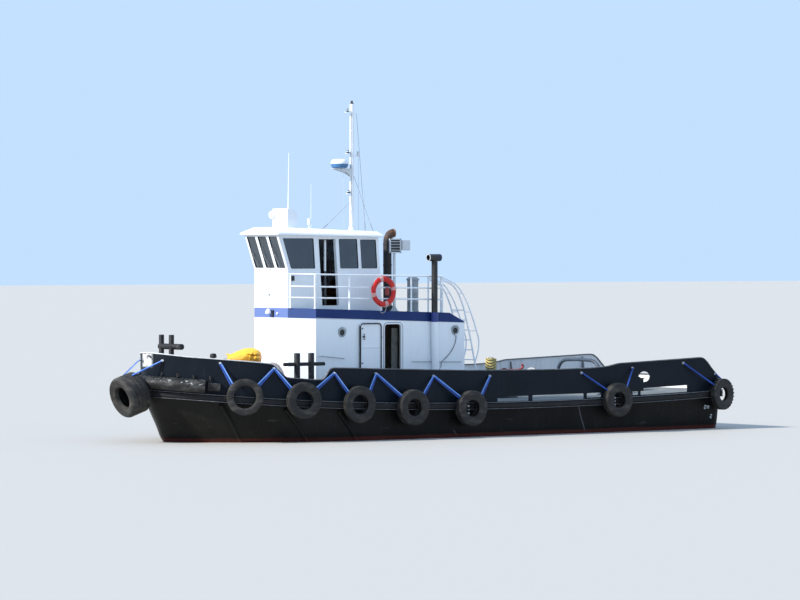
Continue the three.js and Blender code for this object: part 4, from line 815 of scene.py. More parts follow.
def keel_point(s):
    low = LEVELS[-1]
    x = level_point(low, s).x
    if s <= 1:
        full_x = low["full"][0]
        x = KEEL_STEM + (full_x - KEEL_STEM) * (low["stem"] - x) / (low["stem"] - full_x)
    aft = max(0, (RUN_X - x) / (RUN_X - TRANSOM_X))
    z = KEEL_Z[1] + (KEEL_Z[0] - KEEL_Z[1]) * (1 - min(1, s)) ** 2 + (KEEL_Z[2] - KEEL_Z[1]) * aft ** 1.2
    return Vector((x, 0, z))


HULL_STEPS = [(0, 1, 44), (1, 2, 20), (2, 3, 26), (3, 4, 8), (4, 5, 8)]
GIRTH_STEPS = 6


def stations():
    made = [0.0]
    for start, end, count in HULL_STEPS:
        made += [start + (end - start) * (k + 1) / count for k in range(count)]
    return made


def girth(s):
    """The section at one station, from deck edge to keel."""
    rows = [level_point(level, s) for level in LEVELS] + [keel_point(s)]
    return curved(rows, GIRTH_STEPS)


def hull_plating():
    """The shell from deck edge to keel, port and starboard."""
    bm = bmesh.new()
    lines = [girth(s) for s in stations()]
    skin(bm, len(lines) - 1, len(lines[0]) - 1, lambda i, j: lines[i][j])
    mirror_y(bm)
    piece("hull_plating", bm, HULL, replaces="hull", sharp=50)


def deck_plating():
    """The deck, flat across, inside the hull's edge."""
    bm = bmesh.new()
    rim = [level_point(LEVELS[0], s) for s in stations()]
    across = 8

    def place(i, j):
        here = rim[i]
        return Vector((here.x, here.y * (1 - 2 * j / across), here.z))

    skin(bm, len(rim) - 1, across, place)
    bmesh.ops.remove_doubles(bm, verts=bm.verts, dist=1e-5)
    bmesh.ops.solidify(bm, geom=bm.faces[:], thickness=0.006)
    piece("deck_plating", bm, DECK)


# The deck edge as one even line from the stem to the middle of the transom.
EDGE_STEP = 0.06


def even_line(points, step):
    made = [points[0]]
    left = step
    for a, b in zip(points, points[1:]):
        length = (b - a).length
        at = left
        while at <= length:
            made.append(a.lerp(b, at / length))
            at += step
        left = at - length
    made.append(points[-1])
    return made


fine_edge = [level_point(LEVELS[0], k * 0.01) for k in range(501)]
DECK_EDGE = even_line([Vector((p.x, p.y, 0)) for p in fine_edge], EDGE_STEP)


def outward(line, i):
    """The plan normal of a port-side line that starts at the stem."""
    before, after = line[max(0, i - 1)], line[min(len(line) - 1, i + 1)]
    along = (after - before).normalized()
    if i == 0:
        return X.copy()
    if i == len(line) - 1:
        return -X
    return Vector((along.y, -along.x, 0))


EDGE_OUT = [outward(DECK_EDGE, i) for i in range(len(DECK_EDGE))]


def edge_index(x):
    """The index of the deck edge's point nearest to x, off the middle line."""
    return min((i for i, p in enumerate(DECK_EDGE) if p.y >= 0.02), key=lambda i: abs(DECK_EDGE[i].x - x))


def edge_run(low, high, height):
    """The port deck edge between two Xs, raised to height(x)."""
    return [p + Z * height(p.x) for p in DECK_EDGE if low <= p.x <= high]


def round_stem(path):
    """A port line that starts at the stem, led on from its starboard twin."""
    return [sided(p, -1) for p in reversed(path[1:])] + path


BULWARK_TOP = [(9.0, 2.35), (8.52, 2.29), (7.96, 2.195), (6.36, 2.043), (6.11, 2.013), (6.01, 1.96),
               (5.83, 1.727), (5.71, 1.65), (4.96, 1.589), (4.73, 1.585), (4.645, 1.665), (4.54, 1.85),
               (4.44, 1.885), (3.59, 1.862), (2.95, 1.835), (0.1, 1.746), (-1.78, 1.727), (-3.02, 1.722),
               (-4.05, 1.735), (-4.69, 1.772), (-5.08, 1.844), (-8.04, 1.955), (-8.16, 1.94),
               (-8.29, 1.855), (-8.5, 1.64), (-8.72, 1.44), (-8.8, 1.412), (-9.2, 1.412), ]
CORNER_SOFT = 0.03


def line_at(table, x):
    for (x0, z0), (x1, z1) in zip(table, table[1:]):
        if x >= x1:
            return z0 + (z1 - z0) * (x0 - x) / (x0 - x1)
    return table[-1][1]


def bulwark_top(x):
    """The top line with its corners eased."""
    return sum(line_at(BULWARK_TOP, x + d * CORNER_SOFT) for d in (-1, -0.5, 0, 0.5, 1)) / 5


PLATE = 0.012
BOW_SPLIT, STERN_SPLIT, LAP = 6.13, -8.45, 0.06
# Freeing ports: X forward, X aft, bottom and top above the deck edge.
FREEING_PORTS = [
    (-0.90, -1.95, 0.020, 0.150),
    (-2.08, -3.84, 0.015, 0.160),
    (-3.95, -4.45, 0.040, 0.160),
    (-5.57, -5.77, 0.040, 0.180),
    (-5.86, -7.57, 0.030, 0.212),
]
HAWSE = dict(x=-5.99, z=1.47, wide=0.2, tall=0.143)


def cutters():
    bm = bmesh.new()
    for fore, aft, low, high in FREEING_PORTS:
        outline = softened([
            (fore, -3, sheer(fore) + low), (fore, -3, sheer(fore) + high),
            (aft, -3, sheer(aft) + high), (aft, -3, sheer(aft) + low),
        ], 0.03, 4, closed=True)
        plate(bm, outline, 6 * Y)
    matrix = Matrix.Translation((HAWSE["x"], 0, HAWSE["z"]))
    matrix = matrix @ Matrix.Diagonal((HAWSE["wide"], 1, HAWSE["tall"], 1))
    matrix = matrix @ Matrix.Rotation(math.pi / 2, 4, "X")
    bmesh.ops.create_cone(bm, cap_ends=True, segments=40, radius1=1, radius2=1, depth=6, matrix=matrix)
    bmesh.ops.recalc_face_normals(bm, faces=bm.faces)
    mesh = bpy.data.meshes.new("cutters")
    bm.to_mesh(mesh)
    bm.free()
    made = bpy.data.objects.new("cutters", mesh)
    bpy.context.scene.collection.objects.link(made)
    return made


def carve(target, tool):
    """Takes the tool's shape out of a piece and keeps the result as its mesh."""
    taking = target.modifiers.new("taking", "BOOLEAN")
    taking.operation = "DIFFERENCE"
    taking.solver = "EXACT"
    taking.object = tool
    depsgraph = bpy.context.evaluated_depsgraph_get()
    result = bpy.data.meshes.new_from_object(target.evaluated_get(depsgraph))
    target.modifiers.remove(taking)
    target.data = result


def bulwark_length(part, low_x, high_x, sides, tool=None):
    """One length of bulwark: thin plate, black outside and grey inside, with its ports carved by the tool."""
    indices = [i for i, p in enumerate(DECK_EDGE) if low_x <= p.x <= high_x]
    bm = bmesh.new()
    for side in sides:
        def place(i, j, side=side):
            k = indices[i]
            edge = DECK_EDGE[k]
            z = sheer(edge.x) if j % 4 in (0, 3) else bulwark_top(edge.x)
            p = edge - EDGE_OUT[k] * (0 if j % 4 in (0, 1) else PLATE)
            return Vector((p.x, p.y * side, z))

        made = skin(bm, len(indices) - 1, 4, place)
        bmesh.ops.remove_doubles(bm, verts=made, dist=1e-6)
    fill_ends(bm)
    bmesh.ops.recalc_face_normals(bm, faces=bm.faces)
    for face in bm.faces:
        middle = face.calc_center_median()
        side = 1 if middle.y >= 0 else -1
        k = min(indices, key=lambda n: (sided(DECK_EDGE[n], side) - middle).xy.length_squared)
        face.material_index = int(face.normal.dot(sided(EDGE_OUT[k], side)) < -0.3)
    made = piece(f"bulwark_{part}_plate", bm, [BULWARK, INNER_GREY], replaces=f"bulwark_{part}", tidy=False)
    if tool:
        carve(made, tool)
        made.data.set_sharp_from_angle(angle=math.radians(35))


def bulwarks():
    tool = cutters()
    bulwark_length("bow", BOW_SPLIT, STEM_X + 1, (1, -1))
    for name, side in BOTH:
        bulwark_length(name, STERN_SPLIT - LAP, BOW_SPLIT + LAP, (side,), tool)
    bulwark_length("stern", TRANSOM_X - 1, STERN_SPLIT, (1, -1))
    bpy.data.objects.remove(tool)


CAP_SECTION = rounded([(-0.045, -0.012), (0.02, -0.012), (0.02, 0.016), (-0.045, 0.016)], 0.012)
CAP_JOINT_X = 5.9


def cap_rail():
    """A rounded flat bar along the top of the bulwark, all the way round, pale at the bow with worn paint and
    a painted highlight along its top.
    """
    aft = edge_run(TRANSOM_X - 1, CAP_JOINT_X, bulwark_top)
    for name, path, finish in (
            ("cap_rail_bow", round_stem(edge_run(CAP_JOINT_X, STEM_X + 1, bulwark_top)), CAP_WORN_AND_LIT),
            ("cap_rail_aft", aft + [sided(p, -1) for p in reversed(aft[:-1])], CAP_PAINT)):
        bm = bmesh.new()
        sweep(bm, path, CAP_SECTION, Z)
        piece(name, bm, finish)


STAY_EVERY, STAY_DEPTH = 14, 0.24


def in_an_opening(x):
    spans = [(aft, fore) for fore, aft, _, _ in FREEING_PORTS]
    spans.append((HAWSE["x"] - HAWSE["wide"], HAWSE["x"] + HAWSE["wide"]))
    spans.append((TRANSOM_X, TRANSOM_X + 0.05))
    return any(aft - 0.04 < x < fore + 0.04 for aft, fore in spans)


def bulwark_stays():
    """Bracket plates behind the bulwark, clear of its openings."""
    bm = bmesh.new()
    for i in range(8, len(DECK_EDGE) - 8, STAY_EVERY):
        edge, out = DECK_EDGE[i], EDGE_OUT[i]
        if in_an_opening(edge.x):
            continue
        low, high = sheer(edge.x), bulwark_top(edge.x) - 0.06
        inner = edge - out * PLATE
        foot = edge - out * STAY_DEPTH
        thick = out.cross(Z) * 0.012
        outline = [inner + Z * high, inner + Z * low, foot + Z * low, foot + Z * (low + 0.05),
                   inner - out * 0.05 + Z * high]
        plate(bm, [p - thick / 2 for p in outline], thick)
    mirror_y(bm)
    piece("bulwark_stays", bm, STAY_GREY)


BELT_TOP, BELT_TALL, BELT_OUT, FLANGE = 0.01, 0.18, 0.12, 0.014


def belting():
    """Rubbing belt: a rubber body held between two steel flanges."""
    path = edge_run(TRANSOM_X - 1, STEM_X + 1, lambda x: sheer(x) + BELT_TOP)
    body = rounded([(0.0, -FLANGE), (0.098, -FLANGE), (0.112, -BELT_TALL / 2), (0.098, -BELT_TALL + FLANGE),
                    (0.0, -BELT_TALL + FLANGE)], 0.03)
    flanges = [[(0, top), (BELT_OUT, top), (BELT_OUT, low), (0, low)]
               for top, low in ((0, -FLANGE), (-BELT_TALL + FLANGE, -BELT_TALL))]
    for name, side in BOTH:
        for start, sections, finish, node in (
                ("belt_rubber", [body], BELT, f"belting_{name}"), ("belt_flanges", flanges, CAP_PAINT, None)):
            bm = bmesh.new()
            for section in sections:
                sweep(bm, path, section, Z)
            bmesh.ops.scale(bm, verts=bm.verts, vec=(1, side, 1))
            piece(f"{start}_{name}", bm, finish, replaces=node)


FENDER_END_X, FENDER_BLOCK_X = 7.56, 7.25
LASHED = (7.3, 8.36)
FENDER_DEPTH, FENDER_TALL, FENDER_LIFT = 0.34, 0.33, 0.2


def bow_fender():
    """The thick rubber round the stem, its thinner end blocks, and the lugs and lashings that hold it."""
    def run(low, high):
        return edge_run(low, high, lambda x: sheer(x) + FENDER_LIFT)

    h, d = FENDER_TALL / 2, FENDER_DEPTH
    body = rounded([(-0.004, -h), (d * 0.5, -h), (d * 0.85, -h * 0.74), (d * 1.02, 0), (d * 0.85, h * 0.74),
                    (d * 0.5, h), (-0.004, h)], 0.06, 4)
    thin = rounded([(-0.004, -0.099), (0.17, -0.099), (0.17, 0.099), (-0.004, 0.099)], 0.03)
    bm = bmesh.new()
    sweep(bm, round_stem(run(FENDER_END_X, STEM_X + 1)), body, Z)
    block = run(FENDER_BLOCK_X, FENDER_END_X)
    for path in (block, [sided(p, -1) for p in reversed(block)]):
        sweep(bm, path, thin, Z)
    piece("bow_rubber", bm, FENDER, replaces="bow_fender", sharp=50)

    bm = bmesh.new()
    half = Vector((0.03, 0.03, 0))
    for i in [i for i, p in enumerate(DECK_EDGE) if LASHED[0] <= p.x <= LASHED[1]][::7]:
        top = sheer(DECK_EDGE[i].x) + FENDER_LIFT + h
        for side in (1, -1):
            at, away = sided(DECK_EDGE[i], side), sided(EDGE_OUT[i], side)
            eye = at + away * 0.012 + Z * (top + 0.075)
            hoop(bm, eye, away.cross(Z), 0.022, 0.007, 8, 14)
            line = [eye, at + away * 0.10 + Z * (top + 0.02), at + away * 0.17 + Z * (top - 0.03)]
            pipe(bm, softened(line, 0.04), 0.010, 8)
            lug = at + away * 0.005
            slab(bm, lug + Z * (top + 0.02) - half, lug + Z * (top + 0.11) + half)
    piece("fender_lashings", bm, BLACK)


SIDE_BARS = [(7.28, 6.85, 6.55), (5.77, 5.36, 4.99), (4.27, 3.97, 3.64)]
SIDE_BAR_R, SIDE_BAR_DROP = 0.05, 0.245


def station_at(level, x):
    """The station whose point on a level has this x, ahead of the transom."""
    low, high = 0.0, 3.5
    for _ in range(40):
        mid = (low + high) / 2
        if level_point(level, mid).x > x:
            low = mid
        else:
            high = mid
    return (low + high) / 2


def rubbing_bars():
    """Half-round bars that slant down the side to the waterline."""
    bm = bmesh.new()
    for at_deck, at_mid, at_water in SIDE_BARS:
        points = []
        for level, x, drop in zip(LEVELS[:3], (at_deck, at_mid, at_water), (SIDE_BAR_DROP, 0, 0)):
            p = level_point(level, station_at(level, x))
            points.append(Vector((p.x, p.y, p.z - drop)))
        pipe(bm, curved(points, 8), SIDE_BAR_R, 12)
    mirror_y(bm)
    piece("rubbing_bars", bm, HULL, tidy=False)


def hull_side(x, z):
    """The port plating's Y at a place under the deck edge."""
    line = girth(station_at(LEVELS[0], x))
    for a, b in zip(line, line[1:]):
        if a.z >= z >= b.z:
            return a.y + (b.y - a.y) * (a.z - z) / (a.z - b.z)
    return line[-1].y


TWO = [(0, 1), (1, 1), (1, 0.5), (0, 0.5), (0, 0), (1, 0)]
METRE = [(0, 0), (0, 1), (0.5, 0.45), (1, 1), (1, 0)]
MARK_WIDE, MARK_TALL = 0.06, 0.09


def draught_marks():
    """Generic draught figures in weld bead by the stern, read from outboard on both sides."""
    bm = bmesh.new()
    for side in (1, -1):
        for strokes, x, z in ((TWO, -8.24, 0.55), (METRE, -8.35, 0.55), (TWO, -8.48, 0.29)):
            start = x if side > 0 else x - MARK_WIDE
            points = []
            for across, high in strokes:
                at, level = start - side * across * MARK_WIDE, z + high * MARK_TALL
                points.append(Vector((at, (hull_side(at, level) + 0.003) * side, level)))
            pipe(bm, points, 0.009, 6)
    piece("draught_marks", bm, PLASTIC_WHITE, slot="white_paint")


SHAFT_Z, APERTURE_X, RUDDER_X, SOLE_Z = -1.33, -6.95, -7.98, -1.96


def skeg_and_shaft():
    """The skeg's plate with its sole piece, the shaft tube, and zinc anodes."""
    bm = bmesh.new()
    outline = [(-1.0, -1.54), (-1.0, -1.6), (-2.6, SOLE_Z), (-8.3, SOLE_Z), (-8.3, SOLE_Z + 0.08),
               (APERTURE_X, SOLE_Z + 0.08), (APERTURE_X, -0.6), (-5.5, -1.0), (-3.5, -1.3)]
    plate(bm, [(x, -0.055, z) for x, z in outline], 0.11 * Y)
    drum(bm, (-5.6, 0, SHAFT_Z), (APERTURE_X - 0.02, 0, SHAFT_Z), 0.15, 0.125, 32)
    piece("skeg", bm, BOTTOM, bevel=0.012)
    bm = bmesh.new()
    for x, y, z in ((-5.9, 0.065, -1.65), (-4.2, 0.065, -1.6), (-7.4, 0.0, -1.9)):
        for side in (1, -1):
            slab(bm, (x - 0.15, y * side - 0.02, z - 0.04), (x + 0.15, y * side + 0.02, z + 0.04))
    piece("anodes", bm, ZINC, bevel=0.012)


PROP_X, PROP_R, BLADE_FOOT, BLADE_PITCH = -7.3, 0.49, 0.09, 0.62


def propeller():
    """Four broad blades with a pitch that eases toward the tips, on a turned hub with a cone."""
    bm = bmesh.new()
    spun(bm, [(0, 0.2), (0.06, 0.2), (0.1, 0.15), (0.108, 0.0), (0.095, -0.12), (0.06, -0.17), (0, -0.2)],
         (PROP_X, 0, SHAFT_Z), X, 36)
    drum(bm, (-6.5, 0, SHAFT_Z), (PROP_X, 0, SHAFT_Z), 0.054, sides=28)
    radial, chordwise = 14, 12
    for blade in range(4):
        for face_side in (1, -1):
            def place(i, j, face_side=face_side, base=math.pi / 2 * blade):
                f = i / radial
                radius = BLADE_FOOT + (PROP_R - BLADE_FOOT) * f
                swell = 0.55 + 1.35 * math.sin(math.pi * min(1, f * 0.92 + 0.06)) ** 0.9
                chord = 0.16 * swell * (1 - f ** 7) + 0.004
                c = (j / chordwise - 0.5) * 2
                thick = 0.018 * (1 - 0.75 * f) * (1 - c * c)
                pitch = math.atan2(BLADE_PITCH, 2 * math.pi * radius)
                a, b = c * chord * 0.5, face_side * thick
                turn = base + (a * math.cos(pitch) - b * math.sin(pitch)) / radius
                return Vector((PROP_X + a * math.sin(pitch) + b * math.cos(pitch),
                               radius * math.sin(turn), SHAFT_Z + radius * math.cos(turn)))

            skin(bm, radial, chordwise, place)
    piece("screw", bm, BRONZE, body="propeller", replaces="propeller", sharp=40)


def rudder():
    """A plated rudder: a fair section with its stock, pintle and horizontal stiffeners."""
    bm = bmesh.new()
    top, foot = -0.64, SOLE_Z + 0.11
    section = curved([(0.23, 0, 0), (0.19, 0.035, 0), (0.06, 0.048, 0), (-0.2, 0.04, 0),
                      (-0.52, 0.008, 0)], 5)
    ring = section + [sided(p, -1) for p in reversed(section[1:])]

    def place(i, j):
        at = ring[j % len(ring)]
        return Vector((RUDDER_X + at.x, at.y, foot + (top - foot) * i / 10))

    skin(bm, 10, len(ring), place)
    fill_ends(bm)
    for z in (foot + 0.02, (foot + top) / 2, top - 0.02):
        slab(bm, (RUDDER_X - 0.5, -0.055, z - 0.012), (RUDDER_X + 0.2, 0.055, z + 0.012))
    drum(bm, (RUDDER_X, 0, top - 0.1), (RUDDER_X, 0, -0.2), 0.05, sides=24)
    drum(bm, (RUDDER_X, 0, foot + 0.06), (RUDDER_X, 0, SOLE_Z + 0.04), 0.03, sides=20)
    piece("rudder_blade", bm, BOTTOM, body="rudder", bevel=0.004, replaces="rudder")


HATCH = dict(aft=-7.7, fore=-6.9, half=0.4, tall=0.33, hinges=(-0.3, 0.3), dogs=(-0.22, 0.22))
HATCH_TOP = sheer(HATCH["aft"]) + HATCH["tall"]


def hatch():
    """Coaming on the aft deck, and its lid with dogs, hinges and a lifting handle."""
    bm = bmesh.new()
    aft, fore, half = HATCH["aft"], HATCH["fore"], HATCH["half"]
    low = sheer(fore) - 0.02
    for x0, x1, y0, y1 in ((aft, aft + WALL, -half, half), (fore - WALL, fore, -half, half),
                           (aft, fore, -half, -half + WALL), (aft, fore, half - WALL, half)):
        slab(bm, (x0, y0, low), (x1, y1, HATCH_TOP))
    for y in HATCH["hinges"]:
        slab(bm, (fore - 0.01, y - 0.02, HATCH_TOP - 0.07), (fore + 0.065, y + 0.02, HATCH_TOP))
    piece("hatch_coaming", bm, BLACK, bevel=0.006)
    bm = bmesh.new()
    z = HATCH_TOP + 0.0003
    slab(bm, (aft - 0.025, -half - 0.025, z), (fore + 0.015, half + 0.025, z + 0.02))
    slab(bm, (aft + 0.06, -half + 0.06, z + 0.018), (fore - 0.06, half - 0.06, z + 0.045))
    for y in HATCH["hinges"]:
        drum(bm, (fore + 0.045, y - 0.04, z + 0.025), (fore + 0.045, y + 0.04, z + 0.025), 0.024, sides=20)
        slab(bm, (fore, y - 0.04, z + 0.005), (fore + 0.045, y + 0.04, z + 0.04))
    handle(bm, (aft + 0.12, -0.1, z + 0.04), (aft + 0.12, 0.1, z + 0.04), Z * 0.05, 0.009, 0.03)
    for y in HATCH["dogs"]:
        drum(bm, (aft + 0.02, y, z + 0.02), (aft + 0.02, y, z + 0.05), 0.016, sides=14)
    piece("hatch_cover", bm, BLACK, body="hatch_lid", bevel=0.005, replaces="hatch_lid")


for build in (hull_plating, deck_plating, bulwarks, cap_rail, bulwark_stays, belting, bow_fender,
              rubbing_bars, draught_marks, skeg_and_shaft, propeller, rudder, hatch):
    build()


# Tyres and their straps.
# One row each: X, height, size, width, bore, then X and height of the two eyes that its straps hang from.
SIDE_TYRES = [
    (6.75, 1.18, 1.0, 0.13, 0.62, ((7.29, 2.03), (6.055, 1.895))),
    (5.36, 1.08, 1.0, 0.16, 0.50, ((6.055, 1.895), (4.42, 1.755))),
    (3.756, 0.945, 1.02, 0.15, 0.52, ((4.42, 1.755), (3.10, 1.715))),
    (2.05, 0.83, 1.0, 0.24, 0.47, ((3.10, 1.715), (1.20, 1.62))),
    (0.151, 0.767, 1.0, 0.21, 0.46, ((1.20, 1.62), (-0.646, 1.59))),
    (-4.84, 0.877, 0.98, 0.22, 0.46, ((-3.74, 1.616), (-5.565, 1.713))),
    (-8.67, 0.945, 0.92, 0.16, 0.42, ((-7.4, 1.818), (-8.585, 1.5))),
]
TYRE_R, TYRE_CLEAR = 0.465, 0.012
# The tread lugs' length, width and height and where they sit, as parts of a tyre's radius and width.
LUG_SIZE, LUG_OUT, LUG_SIDE = (0.1, 0.3, 0.07), 0.956, 0.36
BOW_TYRE = dict(x=8.982, z=1.226, r=0.533, w=0.6, dip=0.33, eye_x=8.33, eye_z=2.09, strap_y=0.14)


def tyre_profile(radius, width, bore):
    """The outer wall and tread from bead to bead, then back through the hollow; pairs of radius and width."""
    h = width / 2
    b = bore
    wall = [(b, 0.55), (b + 0.02, 0.72), (b + 0.06, 0.8), (b + 0.07, 0.86), (b + 0.1, 0.88), (0.76, 0.97),
            (0.84, 1.0), (0.86, 0.97), (0.88, 0.99), (0.93, 0.95), (0.965, 0.88), (0.985, 0.80)]
    tread = [(1.0, 0.74), (1.0, 0.50), (0.972, 0.47), (0.972, 0.41), (1.0, 0.38), (1.0, 0.10), (0.972, 0.07)]
    hollow = [(0.93, 0.5), (0.915, 0.8), (0.84, 0.9), (b + 0.1, 0.78), (b + 0.03, 0.5)]
    half = wall + tread
    outer = half + [(r, -w) for r, w in reversed(half)]
    inner = [(r, -w) for r, w in reversed(hollow)] + hollow
    return [(r * radius, w * h) for r, w in outer + inner]


def tyre(bm, centre, axis, radius, width, bore, lugs=0):
    spun(bm, tyre_profile(radius, width, bore), centre, axis, 56, closed=True)
    axis = Vector(axis).normalized()
    out = axis.orthogonal().normalized()
    long, wide, tall = LUG_SIZE
    size = Matrix.Diagonal((radius * long, width * wide, radius * tall, 1))
    for k in range(lugs):
        for side in (1, -1):
            turn = Matrix.Rotation(2 * math.pi * (k + 0.5 * (side > 0)) / lugs, 3, axis)
            radial = turn @ out
            middle = Vector(centre) + radial * (radius * LUG_OUT) + axis * (side * width * LUG_SIDE)
            facing = Matrix((axis.cross(radial), axis, radial)).transposed().to_4x4()
            bmesh.ops.create_cube(bm, size=1, matrix=Matrix.Translation(middle) @ facing @ size)


STRAP_W, STRAP_T = 0.034, 0.008
EYE_STAND = 0.034                     # how far a strap's top stands off the bulwark
GRIP_SIDE, GRIP_UP = 0.62, 0.5        # where it takes hold of a tyre, in radii
STRAPPED, LINKED = range(1, 6), (5, 6)


def strap_strands(webs, pale, start, grip, facing, spread, upper):
    """The two strands of a doubled strap, a little apart at the tyre; the upper one is painted lighter, a
    painted highlight where the sun catches it.
    """
    half_w, half_t = STRAP_W / 2, STRAP_T / 2
    flat = [(-half_w, -half_t), (half_w, -half_t), (half_w, half_t), (-half_w, half_t)]
    beside = (grip - start).normalized().cross(facing).normalized()
    for way in (1, -1):
        a = start + beside * (way * STRAP_W * 0.56)
        b = grip + beside * (way * (STRAP_W * 0.56 + spread))
        # pale is the painted-lit webbing, on the strand that faces the sun.
        sweep(pale if way == upper else webs, [a, a.lerp(b, 0.5), b], flat, facing)


def pad_eye(bm, at, out):
    """A plate, a ring and a shackle pin where a strap is made fast."""
    side = out.cross(Z).normalized()
    drum(bm, at - out * 0.004, at + out * 0.012, 0.036, sides=18)
    hoop(bm, at + out * 0.03, side, 0.022, 0.008, 8, 18)
    drum(bm, at + out * 0.042 - side * 0.03, at + out * 0.042 + side * 0.03, 0.009, sides=10)


def eye_place(x, z, side):
    """Where an eye stands on the bulwark, and which way it faces."""
    i = edge_index(x)
    return sided(DECK_EDGE[i], side) + Z * z, sided(EDGE_OUT[i], side)


def tyre_group():
    """Seven tyres a side and one on the bow, on doubled straps; the two aft ones hang on rope."""
    webs, pale, eyes, links = [bmesh.new() for _ in range(4)]
    fitted = set()
    for number, (x, z, size, width, bore, eye_places) in enumerate(SIDE_TYRES, 1):
        i = edge_index(x)
        radius = TYRE_R * size
        stand = BELT_OUT + TYRE_CLEAR + width / 2
        for name, side in BOTH:
            axis = sided(EDGE_OUT[i], side)
            centre = sided(DECK_EDGE[i], side) + Z * z + axis * stand
            bm = bmesh.new()
            tyre(bm, centre, axis, radius, width, bore, lugs=26 if number == len(SIDE_TYRES) else 0)
            piece(f"tyre_{name}_{number}_rubber", bm, TYRE, replaces=f"tyre_{name}_{number}", sharp=30)
            fore = axis.cross(Z) * side
            for way, (eye_x, eye_z) in zip((1, -1), eye_places):
                at, face = eye_place(eye_x, eye_z, side)
                grip = centre + (fore * way * GRIP_SIDE + Z * GRIP_UP) * radius
                if (side, eye_x) not in fitted:
                    pad_eye(eyes, at, face)
                    fitted.add((side, eye_x))
                start = at + face * EYE_STAND
                if number in STRAPPED:
                    strap_strands(webs, pale, start, grip, axis, 0.012, -way * side)
                else:
                    pipe(webs, [start, start.lerp(grip, 0.5), grip], 0.024, 12)
            for k in range(3 if number in LINKED else 0):
                link = centre - axis * (width * 0.3) + Z * (radius * (0.12 - 0.2 * k)) + fore * (radius * 0.1)
                hoop(links, link, fore if k % 2 else axis, 0.02, 0.007, 6, 14)
    bm = bmesh.new()
    big = BOW_TYRE
    dip = big["dip"]
    centre = Vector((big["x"], 0, big["z"]))
    tyre(bm, centre, Vector((math.cos(dip), 0, -math.sin(dip))), big["r"], big["w"], 0.5)
    piece("tyre_bow_rubber", bm, TYRE, replaces="tyre_bow", sharp=30)
    crown = math.sqrt(big["r"] ** 2 - big["strap_y"] ** 2)
    for side in (1, -1):
        at, face = eye_place(big["eye_x"], big["eye_z"], side)
        pad_eye(eyes, at, face)
        reach = Vector((crown * math.sin(dip), big["strap_y"] * side, crown * math.cos(dip) - 0.04))
        strap_strands(webs, pale, at + face * EYE_STAND, centre + reach, X + Z, 0.01, side)
    piece("tyre_straps", webs, WEBBING)
    piece("straps_painted_lit", pale, WEBBING_PAINTED_LIT)
    piece("strap_eyes", eyes, GALVANISED)
    piece("tyre_chain_links", links, GALVANISED)


tyre_group()


# Deckhouse.
PORTHOLES = [(3.27, 2.756), (-0.43, 2.769)]
PORTHOLE_R = 0.09
PORTHOLE_RIM = [(-0.012, -0.03), (-0.012, 0.014), (-0.004, 0.022), (0.022, 0.022), (0.03, 0.012),
                (0.03, 0.001), (0.002, 0.001), (0.002, -0.03)]
DOORWAY = (1.34, 1.90, 1.12, 2.97)
HINGE = Vector((1.99, HOUSE_HALF + 0.035, 0))
LUG_HEIGHTS = (1.4, 2.64)


def cad_finishes():
    """Finishes for the frame's own pieces that keep their shape."""
    walls = [f"{house}_{wall}" for house in ("deckhouse", "wheelhouse")
             for wall in ("front", "port", "starboard", "aft")]
    for names, finish in ((walls + ["wheelhouse_door"], WHITE), (["deckhouse_top"], BAND)):
        for name in names:
            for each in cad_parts[name].material_slots:
                each.material = finish.material


def framed_line(corners, radius):
    """A rounded closed outline from corners in one plane."""
    return softened(corners, radius, 5, closed=True)


def outline_frame(bm, corners, normal, radius, wide, deep, inset=0.0):
    """A rounded frame of rectangular bar round an opening, standing proud of the wall."""
    sweep(bm, framed_line(corners, radius), square(wide / 2, inset, deep), normal, closed=True)


def portholes():
    """Rims with six bolts and an eyebrow each, and their dark panes."""
    rims, panes = bmesh.new(), bmesh.new()
    r = PORTHOLE_R
    for x, z in PORTHOLES:
        for side in (1, -1):
            out = Y * side
            at = Vector((x, HOUSE_HALF * side, z))

            def around(turn, radius, stand, at=at, out=out):
                return at + (X * math.cos(turn) + Z * math.sin(turn)) * radius + out * stand

            spun(rims, [(r + a, b) for a, b in PORTHOLE_RIM], at, out, 36, closed=True)
            for k in range(6):
                turn = math.pi / 3 * k
                drum(rims, around(turn, r + 0.014, 0.018), around(turn, r + 0.014, 0.03), 0.007, sides=6)
            drum(panes, at - out * 0.02, at - out * 0.012, r - 0.008, sides=36)
            pipe(rims, [around(math.pi * k / 12, r + 0.05, 0.02) for k in range(1, 12)], 0.007, 8)
    piece("porthole_rims", rims, GREY)
    piece("porthole_panes", panes, PORTHOLE_GLASS)


